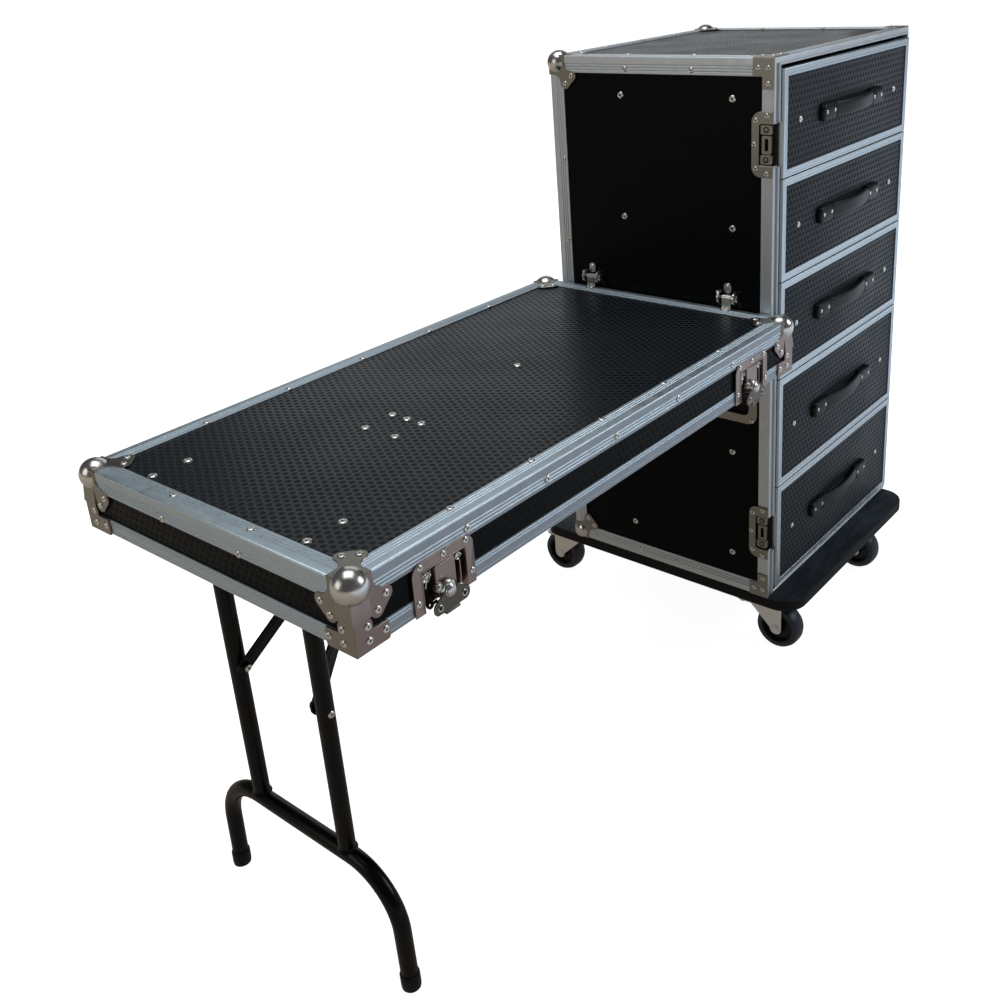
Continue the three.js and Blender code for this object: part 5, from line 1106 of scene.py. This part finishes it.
def lid_screws():
    """Screws in the lid's top that hold the leg's brackets and its clip under it."""
    spots = [(x, y) for x in (-966.5, -912.5) for y in (MIDDLE_Y - 157.0, MIDDLE_Y + 157.0)]
    spots += [(-709.0, 257.0), (-655.5, 258.0), (-656.0, 227.5), (-656.6, 198.0),
              (-708.0, 198.0), (-409.5, 229.0)]
    rivets("lid top screws", [((x, y, LID_TOP - WALL), UP) for x, y in spots], "lid", LID_SCREW)


# Latches: flange, pan, mechanism plate, two springs, and the wing on its boss
LATCH_HALF, LATCH_SHOULDER, LATCH_ROUND = 51.0, 52.0, 16.0
OPENING_SHOULDER, OPENING_ROUND = 48.0, 6.0
LATCH_RISE, LATCH_DEPTH = 2.4, 10.8
LATCH_RIVETS = ((0.0, 61.5), (-45.0, 17.0), (-38.0, 61.5), (45.0, 17.0), (38.0, 61.5))
# Two small bent wires of the latch's spring, by their points from the latch's foot
LATCH_WIRES = (((-34.0, -0.5, 45.0), (-27.0, -1.2, 46.5), (-21.0, -0.6, 50.0)),
               ((-30.0, -0.4, 49.0), (-29.0, -0.9, 40.0), (-31.0, -0.3, 30.0)))
FRONT_Y = LID_Y[0]


def latch_dish(x):
    """Flange round an opening with rounded shoulders, and the pan's three walls behind it."""
    low, r = LID_LOW, OPENING_ROUND
    outer = [(x + LATCH_HALF, low), (x + LATCH_HALF, low + LATCH_SHOULDER)]
    outer += arc((x + LATCH_HALF - LATCH_ROUND, low + LATCH_SHOULDER), LATCH_ROUND, 0, 90, 6)
    outer += arc((x - LATCH_HALF + LATCH_ROUND, low + LATCH_SHOULDER), LATCH_ROUND, 90, 180, 6)
    opening = [(x - MOUTH_HALF, low)] + arc((x - MOUTH_HALF + r, low + OPENING_SHOULDER), r, 180, 90, 4)
    opening += arc((x + MOUTH_HALF - r, low + OPENING_SHOULDER), r, 90, 0, 4) + [(x + MOUTH_HALF, low)]
    outline = outer + [(x - LATCH_HALF, low)] + opening
    depth, tall = (FRONT_Y - 3.2, FRONT_Y + LATCH_DEPTH), (low + 0.5, low + 54.5)
    return [slab(outline, (FRONT_Y - LATCH_RISE, FRONT_Y - 0.3), "y", 0.5),
            block((x - 37.3, x - 35.8), depth, tall, 0.5), block((x + 35.8, x + 37.3), depth, tall, 0.5),
            block((x - 36.5, x + 36.5), depth, (low + 53.2, low + 54.7), 0.5)]


def latch_mechanism(x):
    """Plate under the wing and the two cheeks that hold it."""
    low, y = LID_LOW, FRONT_Y
    outline = rounded((x - 15.0, x + 19.0), (low + 8.0, low + 50.5), (4.0, 4.0, 3.0, 3.0), 4)
    return [slab(outline, (y - 1.0, y + 1.0), "y", 0.5),
            block((x - 15.0, x - 13.4), (y - 1.0, y + 9.4), (low + 10.0, low + 49.0)),
            block((x + 26.5, x + 28.5), (y - 0.4, y + 9.4), (low + 8.0, low + 40.0))]


def latch_springs(x):
    """Two coils round their posts, two bent wires and the button beside the wing."""
    low, y = LID_LOW, FRONT_Y
    solids = []
    for at, level, radius in ((x - 27.5, low + 43.0, 6.4), (x + 25.5, low + 45.5, 4.4)):
        solids.append(coil((at, y - 0.6, level), radius, 5, 1.8, 0.8, 110, 7))
        solids.append(rod((at, y + 1.0, level), (at, y + 9.6, level), radius - 2.0, 16))
    solids += [tube(np.array(wire) + (x, y, low), 0.9, 8) for wire in LATCH_WIRES]
    button = [(6.2, 3.0), (6.2, -4.0), (4.6, -6.2), (1.0, -6.6)]
    return solids + [turned(button, (x - 11.0, y, low + 22.0), "y", 22)]


WING_LIFT = 8.5
WING_AXIS = LID_LOW + 15.0
LOBE_PLACE, LOBE_DROP, LOBE_ROUND = 20.5, 13.0, 10.0
BOSS = ((9.0, WING_LIFT - 2.0), (9.0, 5.6), (11.6, 5.0), (12.0, 4.2), (12.0, 1.4), (11.0, 0.2), (8.6, -0.4),
        (8.6, -2.6), (7.4, -3.4), (7.2, -4.6), (5.4, -6.0), (2.6, -6.5), (0.5, -6.6))
EYELET = ((4.4, 0.3), (4.4, -0.3), (3.9, -0.7), (3.0, -0.4), (3.0, 0.3))


def wing_parts(x):
    """Wing: two lobes with holes beside a chromed boss, held off the plate, and a folded lip at its foot."""
    front, axis_z = FRONT_Y - WING_LIFT, WING_AXIS
    half = arc((LOBE_PLACE, -LOBE_DROP), LOBE_ROUND, -70, 70, 8)
    half += [(14.5, 2.0), (12.5, 3.5), (9.5, 3.0), (7.0, -1.0)]
    outline = [(x + u, axis_z + v) for u, v in half + [(-u, v) for u, v in half[::-1]]]
    wing = [slab(outline, (front - 2.2, front), "y", 0.6),
            block((x - 12.0, x + 12.0), (front - 2.6, front + 4.0), (axis_z - 26.5, axis_z - 22.6), 0.8),
            rod((x, FRONT_Y - 3.0, axis_z), (x, FRONT_Y + 9.0, axis_z), 4.0)]
    holes = [(x + side * LOBE_PLACE, front - 2.4, axis_z - LOBE_DROP) for side in (-1, 1)]
    eyelets = [turned(EYELET, hole, "y", 20, loop=True) for hole in holes]
    # The holes are near black discs inside the eyelets: painted shade
    dark = [turned([(3.1, 0.3), (3.1, -0.1), (0.2, -0.1)], hole, "y", 20) for hole in holes]
    return wing, [turned(BOSS, (x - 1.5, front, axis_z + 2.0), "y", 30)] + eyelets, dark


def latch_claw(x):
    """Small hook ring beside the wing."""
    ring = ((5.5, -1.5), (5.5, 1.5), (2.8, 1.5), (2.8, -1.5))
    return [turned(ring, (x - 25.0, FRONT_Y + 1.5, LID_LOW + 5.0), "y", 20, loop=True),
            block((x - 24.0, x - 13.0), (FRONT_Y + 0.3, FRONT_Y + 2.7), (LID_LOW + 2.5, LID_LOW + 6.5), 0.6)]


def latch_pieces(label, parts, body, rear):
    """One piece for each of a latch's parts, reflected to the back for a rear latch."""
    for part, solids, finish, nodes in parts:
        solids = mirrored(solids, 1, MIDDLE_Y) if rear else solids
        piece(f"{label} {part}", solids, finish, body, nodes)


def latches():
    for where, rear in (("front", False), ("rear", True)):
        for name, x in LATCHES.items():
            label = f"{where} {name} latch"
            # The pan's floor is near black: painted shade in the latch's hollow
            floor = block((x - 36.5, x + 36.5), (FRONT_Y + 9.4, FRONT_Y + LATCH_DEPTH),
                          (LID_LOW + 0.5, LID_LOW + 54.5), 0.2)
            latch_pieces(label, (("dish", latch_dish(x), LATCH_STEEL, [f"latch_dish_{where}_{name}"]),
                                 ("mechanism", latch_mechanism(x), LATCH_STEEL, ()),
                                 ("hollow", [floor], HOLLOW_SHADE, ()),
                                 ("springs", latch_springs(x), RIVET_NICKEL, ()),
                                 ("claw", latch_claw(x), DARK_STEEL_AND_PIT_SHADE, ())), "lid", rear)
            spots = [((x + u, FRONT_Y - LATCH_RISE, LID_LOW + v), FRONT) for u, v in LATCH_RIVETS]
            spots = mirrored_spots(spots, 1, MIDDLE_Y) if rear else spots
            rivets(f"{label} rivets", spots, "lid", LATCH_RIVET)
            wing, boss, dark = wing_parts(x)
            latch_pieces(label, (("wing", wing, WING_STEEL, [f"latch_wing_{where}_{name}"]),
                                 ("boss", boss, CHROME, ()),
                                 ("wing holes", dark, HOLLOW_SHADE, ())), f"wing_{where}_{name}", rear)


# Folding leg
LEG_X = -934.0
TUBE_RADIUS = 12.25
PIVOT_Z, PIVOT_HALF = 545.5, 172.0
UPRIGHT_HALF = 93.5
BAR_Z = 50.0
BEND, BEND_HALF, FOOT_HALF = 86.0, 101.0, 190.0
ARM_DROP = 260.5
ARM_Z = PIVOT_Z - ARM_DROP
ARM_WIDE, ARM_NARROW = 76.0, 32.0
ARM_RADIUS = 10.5
ARM_PIN_END = 70.0
WELD = ((TUBE_RADIUS - 1.0, 6.0), (TUBE_RADIUS + 2.6, 9.0), (TUBE_RADIUS + 1.0, 12.5),
        (TUBE_RADIUS - 0.6, 16.0))
CAP_HEIGHT, CAP_LEAN = 26.0, 3.0
CAP_PROFILE = ((0.0, 11.5), (0.8, 13.6), (6.0, 14.1), (CAP_HEIGHT - 3.0, 14.1), (CAP_HEIGHT, 13.0))


def leg_frame():
    """Bent foot tube, pivot tube, two uprights with a weld each, and the arms' pins."""
    half = [(MIDDLE_Y - FOOT_HALF, FLOOR + 3.0), (MIDDLE_Y - FOOT_HALF + 1.5, (FLOOR + BAR_Z - BEND) / 2)]
    half += arc((MIDDLE_Y - BEND_HALF, BAR_Z - BEND), BEND, 180, 90, 14)
    path = half + [(2 * MIDDLE_Y - u, v) for u, v in half[::-1]]
    solids = [tube(placed(PLANES["x"], path, LEG_X), TUBE_RADIUS, 22),
              rod((LEG_X, MIDDLE_Y - PIVOT_HALF, PIVOT_Z), (LEG_X, MIDDLE_Y + PIVOT_HALF, PIVOT_Z),
                  TUBE_RADIUS, 22, 1.0)]
    spots = []
    for side in (-1, 1):
        y = MIDDLE_Y + side * UPRIGHT_HALF
        outer, end = y + side * (TUBE_RADIUS - 0.6), MIDDLE_Y + side * ARM_PIN_END
        head = end - side * 1.6
        solids += [rod((LEG_X, y, PIVOT_Z), (LEG_X, y, BAR_Z), TUBE_RADIUS, 22),
                   turned(WELD, (LEG_X, y, BAR_Z), "z", 22),
                   rod((LEG_X, outer, ARM_Z), (LEG_X, end, ARM_Z), 4.0, 14),
                   rod((LEG_X, end + side * 0.4, ARM_Z), (LEG_X, head, ARM_Z), 6.5, 16, 0.8)]
        spots += [((LEG_X, head, ARM_Z), (0, -side, 0)), ((LEG_X, outer, ARM_Z), (0, side, 0))]
    piece("leg frame", solids, POWDER_COAT, "leg", ["leg_frame"])
    rivets("leg rivets", spots, "leg", LEG_RIVET)


def foot_caps():
    """Moulded caps: rings radius * (cos a, sin a) whose middle leans with the tube as they rise."""
    caps = []
    angle = np.linspace(0, 2 * math.pi, 26, endpoint=False)
    height, radius = np.array(CAP_PROFILE).T[:, :, None]
    for side in (-1, 1):
        middle = MIDDLE_Y + side * (FOOT_HALF - CAP_LEAN * height / (BAR_Z - BEND - FLOOR))
        x, y, z = LEG_X + radius * np.cos(angle), middle + radius * np.sin(angle), FLOOR + height
        caps.append(loft(np.stack(np.broadcast_arrays(x, y, z), -1)))
    piece("foot caps", caps, POLYAMIDE, "leg")


BRACKET_HALF_PITCH, BRACKET_HALF = 157.0, 32.0
BRACKET_LOW, BRACKET_HIGH = 558.4, 560.3
SADDLE_OUTER, SADDLE_INNER, SADDLE_HALF = 17.0, 12.9, 13.0
HEAD_PLACE = 24.0


def leg_brackets():
    """A plate under the lid, a saddle round the pivot tube and four screw heads each."""
    high = BRACKET_LOW + 0.6
    outer, inner = (arc((LEG_X, PIVOT_Z), radius, 180, 360, 14) for radius in (SADDLE_OUTER, SADDLE_INNER))
    band = [(LEG_X - SADDLE_OUTER, high)] + outer + [(LEG_X + SADDLE_OUTER, high)]
    band += [(LEG_X + SADDLE_INNER, high)] + inner[::-1] + [(LEG_X - SADDLE_INNER, high)]
    for name, side in (("front", -1), ("rear", 1)):
        y = MIDDLE_Y + side * BRACKET_HALF_PITCH
        u, v = (LEG_X - BRACKET_HALF, LEG_X + BRACKET_HALF), (y - BRACKET_HALF, y + BRACKET_HALF)
        solids = [slab(rounded(u, v, 7.0, 5), (BRACKET_LOW, BRACKET_HIGH), "z"),
                  slab(band, (y - SADDLE_HALF, y + SADDLE_HALF), "y")]
        for x in (LEG_X - HEAD_PLACE, LEG_X + HEAD_PLACE):
            solids += [dome((x, y + at, BRACKET_LOW), DOWN, 4.0, 2.0) for at in (-HEAD_PLACE, HEAD_PLACE)]
        piece(f"{name} leg bracket", solids, POWDER_COAT, "lid", [f"leg_bracket_{name}"])


def brace():
    """Two flat arms from the leg to the elbow and the link from there to the lid, all at 45 degrees."""
    length = ARM_DROP / math.sqrt(2)
    outline = arc((0.0, 0.0), ARM_RADIUS, 90, 270, 10) + arc((length, 0.0), ARM_RADIUS, -90, 90, 10)
    rib = [(14.0, -5.0), (length - 14.0, -5.0), (length - 14.0, 5.0), (14.0, 5.0)]
    arm = [slab(outline, (-2.0, 2.0), "y", 0.5), rod((length, -3.4, 0.0), (length, 3.4, 0.0), 6.0, 16, 0.8),
           slab(rib, (-2.6, 2.6), "y", 0.5)]
    for name, side in (("front", -1), ("rear", 1)):
        pivot = (LEG_X, MIDDLE_Y + side * ARM_WIDE, ARM_Z)
        solids = leaned(arm, pivot, math.radians(45), side * (ARM_NARROW - ARM_WIDE) / length)
        piece(f"{name} brace arm", solids, POWDER_COAT, f"arm_{name}", [f"brace_arm_{name}"])
    link = [slab(outline, (-2.5, 2.5), "y", 0.5), rod((0.0, -26.0, 0.0), (0.0, 26.0, 0.0), 4.0, 14),
            rod((0.0, -14.0, 0.0), (0.0, 14.0, 0.0), 6.6, 18, 0.8)]
    elbow = (LEG_X + ARM_DROP / 2, MIDDLE_Y, PIVOT_Z - ARM_DROP / 2)
    link = leaned(link, elbow, math.radians(45))
    piece("brace link", link, POWDER_COAT, "link", ["brace_link"])


# Caster board and casters
BOARD_CORNER = 48.0
BOARD_TRIM = 8.0
BOARD_STEPS = ((1.5, -22.0), (0.0, -20.5), (0.0, -2.6), (0.6, -0.8), (2.2, -0.3))
MOUNT_X, MOUNT_Y, MOUNT_LOW, MOUNT_HIGH = 50.0, 42.0, -24.5, -21.8
RACE = ((27.0, -24.3), (27.0, -27.4), (24.5, -29.4), (8.0, -29.5))
MOUNT_BOLT = ((7.0, -24.4), (7.0, -29.0), (6.2, -29.6), (0.5, -29.6))
BOLT_X, BOLT_Y = 40.0, 32.0
SWIVEL_RADIUS = 27.0
CROWN = ((27.0, -32.8), (25.0, -29.8), (8.0, -29.8))
CROWN_Z, CROWN_WALL = -32.8, 3.0
CHEEK_OUTER, CHEEK_INNER, CHEEK_ROUND = 22.5, 19.5, 12.0
SHOULDER = arc((38.6, 10.6), 6.4, 60, 90, 3)
TREAD = [(44.6, -9.0), (45.0, -4.0), (45.0, 4.0), (44.6, 9.0)]
TYRE_PROFILE = ([(33.0, -17.0)] + [(u, -v) for u, v in SHOULDER[::-1]] + TREAD + SHOULDER
                + [(33.0, 17.0), (31.5, 15.0), (31.5, -15.0)])
HUB_HALF = [(6.6, -16.0), (13.0, -16.0), (14.5, -9.0), (28.0, -9.0), (30.0, -15.8), (32.0, -15.8)]
HUB_PROFILE = HUB_HALF + [(u, -v) for u, v in HUB_HALF[::-1]]


def caster_places():
    """Each caster's name and the middle of its swivel, from its fork in the frame."""
    places = {}
    for end, way in (("front", -1), ("rear", 1)):
        for side in ("left", "right"):
            x, y, _ = span(f"caster_fork_{end}_{side}")
            places[end, side] = (sum(x) / 2, y[1] - SWIVEL_RADIUS if way < 0 else y[0] + SWIVEL_RADIUS)
    return places


def caster_board():
    x, y, _ = span("caster_board")
    outline = rounded(x, (y[0] + BOARD_TRIM, y[1]), BOARD_CORNER, 12)
    piece("caster board", [stepped(outline, BOARD_STEPS, "z")], BOARD, "case", ["caster_board"])
    plates, bolts = [], []
    for x, y in caster_places().values():
        outline = rounded((x - MOUNT_X, x + MOUNT_X), (y - MOUNT_Y, y + MOUNT_Y), 8.0, 5)
        plates += [slab(outline, (MOUNT_LOW, MOUNT_HIGH), "z"), turned(RACE, (x, y, 0.0), "z", 36)]
        bolts += [turned(MOUNT_BOLT, (bolt_x, bolt_y, 0.0), "z", 6)
                  for bolt_x in (x - BOLT_X, x + BOLT_X) for bolt_y in (y - BOLT_Y, y + BOLT_Y)]
    piece("caster plates", plates, GALVANISED, "case")
    piece("caster bolts", bolts, GALVANISED, "case")


def fork(x, y, axle_y, axle_z):
    """Crown on the swivel, a cheek with a rounded foot and an axle nut on each side, and the axle."""
    way = 1 if axle_y > y else -1
    back, foot = y - way * SWIVEL_RADIUS, axle_y + way * CHEEK_ROUND
    crown = rounded((x - CHEEK_OUTER, x + CHEEK_OUTER), sorted((back, foot)), 8.0, 5)
    turn = (180, 360) if way > 0 else (0, -180)
    cheek = [(back, CROWN_Z), (back + way * 2.0, CROWN_Z - 12.0)]
    cheek += arc((axle_y, axle_z), CHEEK_ROUND, *turn, 10) + [(foot, CROWN_Z)]
    solids = [turned(CROWN, (x, y, 0.0), "z", 36), slab(crown, (CROWN_Z - CROWN_WALL, CROWN_Z), "z", 0.5)]
    for across in (-1, 1):
        outer, inner = x + across * CHEEK_OUTER, x + across * CHEEK_INNER
        nut = [(8.0, 0.0), (8.0, across * 1.5), (5.6, across * 2.6), (0.5, across * 2.8)]
        solids += [slab(cheek, (outer, inner), "x", 0.6), turned(nut, (outer, axle_y, axle_z), "x", 18)]
    return solids + [rod((x - 22.6, axle_y, axle_z), (x + 22.6, axle_y, axle_z), 6.0, 16)]


def casters():
    for (end, side), (x, y) in caster_places().items():
        name = f"{end}_{side}"
        wheel = f"caster_wheel_{name}"
        axle_y, axle_z = (sum(extent) / 2 for extent in span(wheel)[1:])
        tyre = turned(TYRE_PROFILE, (x, axle_y, axle_z), "x", 56, loop=True)
        hub = turned(HUB_PROFILE, (x, axle_y, axle_z), "x", 48, loop=True)
        solids = fork(x, y, axle_y, axle_z)
        nodes = [f"caster_fork_{name}"]
        piece(f"{end} {side} fork", solids, GALVANISED, f"fork_{name}", nodes)
        piece(f"{end} {side} tyre", [tyre], RUBBER, f"wheel_{name}", [wheel])
        piece(f"{end} {side} hub", [hub], NYLON, f"wheel_{name}")


def dress_nodes():
    """CAD nodes that show as they are."""
    shown = {f"drawer_{number}_box": BIRCH for number in range(1, 6)}
    for name in ("side_panel_left", "side_panel_right", "top_panel", "bottom_panel", "back_panel", "lid_tray"):
        shown[name] = LAMINATE_PAINTED_LIGHT
    for name in ("runner_rack_left", "runner_rack_right"):
        shown[name] = RUNNER_STEEL
    for name, finish in shown.items():
        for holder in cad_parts[name].material_slots:
            holder.link = "OBJECT"
            holder.material = finish


# Floor, world and lights, in metres
FLOOR_HALF = 14.0
WHITE, WARM_FLOOR, COOL_FLOOR = (1.0, 1.0, 1.0, 1.0), (0.36, 0.318, 0.268, 1.0), (0.6, 0.68, 0.76, 1.0)
# Across the floor from the left to the right of the picture
ACROSS = (0.707, -0.707, 0.0)
WORLD_DIM = 0.08
AIM = (0.0, 0.0, 0.5)
# Each lamp's name, place, size, power and colour
LAMPS = (
    ("key", (2.4, -3.0, 2.6), 1.8, 44.0, (0.93, 0.97, 1.0)),
    ("top", (-0.2, 0.2, 3.4), 2.2, 34.0, (0.94, 0.98, 1.0)),
    ("left", (-3.4, 1.2, 1.9), 1.8, 13.0, (1.0, 0.96, 0.9)),
    ("back", (3.0, 2.6, 1.9), 3.4, 21.0, (0.95, 0.98, 1.0)),
)


def white_floor():
    """White floor to the camera. To other rays it is a dim floor, warm at the left and cool at the right."""
    mesh = bpy.data.meshes.new("floor")
    corners_at = [(-FLOOR_HALF, -FLOOR_HALF, 0), (FLOOR_HALF, -FLOOR_HALF, 0), (FLOOR_HALF, FLOOR_HALF, 0),
                  (-FLOOR_HALF, FLOOR_HALF, 0)]
    mesh.from_pydata(corners_at, [], [(0, 1, 2, 3)])
    floor = bpy.data.objects.new("floor", mesh)
    bpy.context.collection.objects.link(floor)
    finish, tree, shader = surface("white floor", "ffffff", 0.9, Specular_IOR_Level=0.0)
    seen = add(tree, "LightPath", {}).outputs["Is Camera Ray"]
    where = add(tree, "TexCoord", {}).outputs["Object"]
    away = add(tree, "VectorMath", {0: where}, operation="LENGTH").outputs["Value"]
    across = add(tree, "VectorMath", {0: where, 1: ACROSS}, operation="DOT_PRODUCT").outputs["Value"]

    def mapped(value, *ends):
        keys = ("From Min", "From Max", "To Min", "To Max")
        return add(tree, "MapRange", {"Value": value, **dict(zip(keys, ends))}).outputs["Result"]

    tint = two_tone(tree, mapped(across, 0.0, 1.4, 0.0, 1.0), WARM_FLOOR, COOL_FLOOR)
    dim, glow = mapped(away, 0.4, 2.6, 0.62, 1.2), mapped(away, 0.8, 2.6, 0.93, 1.08)
    shining = {"Factor": seen, "A": dim, "B": glow}
    grey = mapped(seen, 0.0, 1.0, 0.06, 0.9)
    feed(shader, {"Base Color": grey, "Emission Color": two_tone(tree, seen, tint, WHITE),
                  "Emission Strength": add(tree, "Mix", shining).outputs["Result"]})
    mesh.materials.append(finish)


def white_world():
    """White to the camera, and a dim white to light and reflections."""
    world = bpy.data.worlds.new("world")
    bpy.context.scene.world = world
    world.use_nodes = True
    seen = add(world.node_tree, "LightPath", {}).outputs["Is Camera Ray"]
    ends = {"Value": seen, "To Min": WORLD_DIM, "To Max": 1.0}
    strength = add(world.node_tree, "MapRange", ends).outputs["Result"]
    feed(world.node_tree.nodes["Background"], {"Color": WHITE, "Strength": strength})


def lamp(name, place, size, power, colour):
    """Square soft light that looks at the middle of the object."""
    data = bpy.data.lights.new(name, "AREA")
    data.size = size
    data.energy = power
    data.color = colour
    light = bpy.data.objects.new(name, data)
    light.location = place
    light.rotation_euler = (Vector(AIM) - Vector(place)).to_track_quat("-Z", "Y").to_euler()
    light.visible_camera = False
    bpy.context.collection.objects.link(light)


def main():
    white_floor()
    white_world()
    for settings in LAMPS:
        lamp(*settings)
    for build in (dress_nodes, case_edging, front_frame, case_corners, front_corner_plates, catch_plates,
                  handle_dishes, side_screws, table_brackets, drawers, lid_edging, lid_rim, lid_corners,
                  lid_screws, latches, leg_frame, foot_caps, leg_brackets, brace, caster_board, casters):
        build()
    bpy.context.scene.view_settings.view_transform = "Standard"


main()
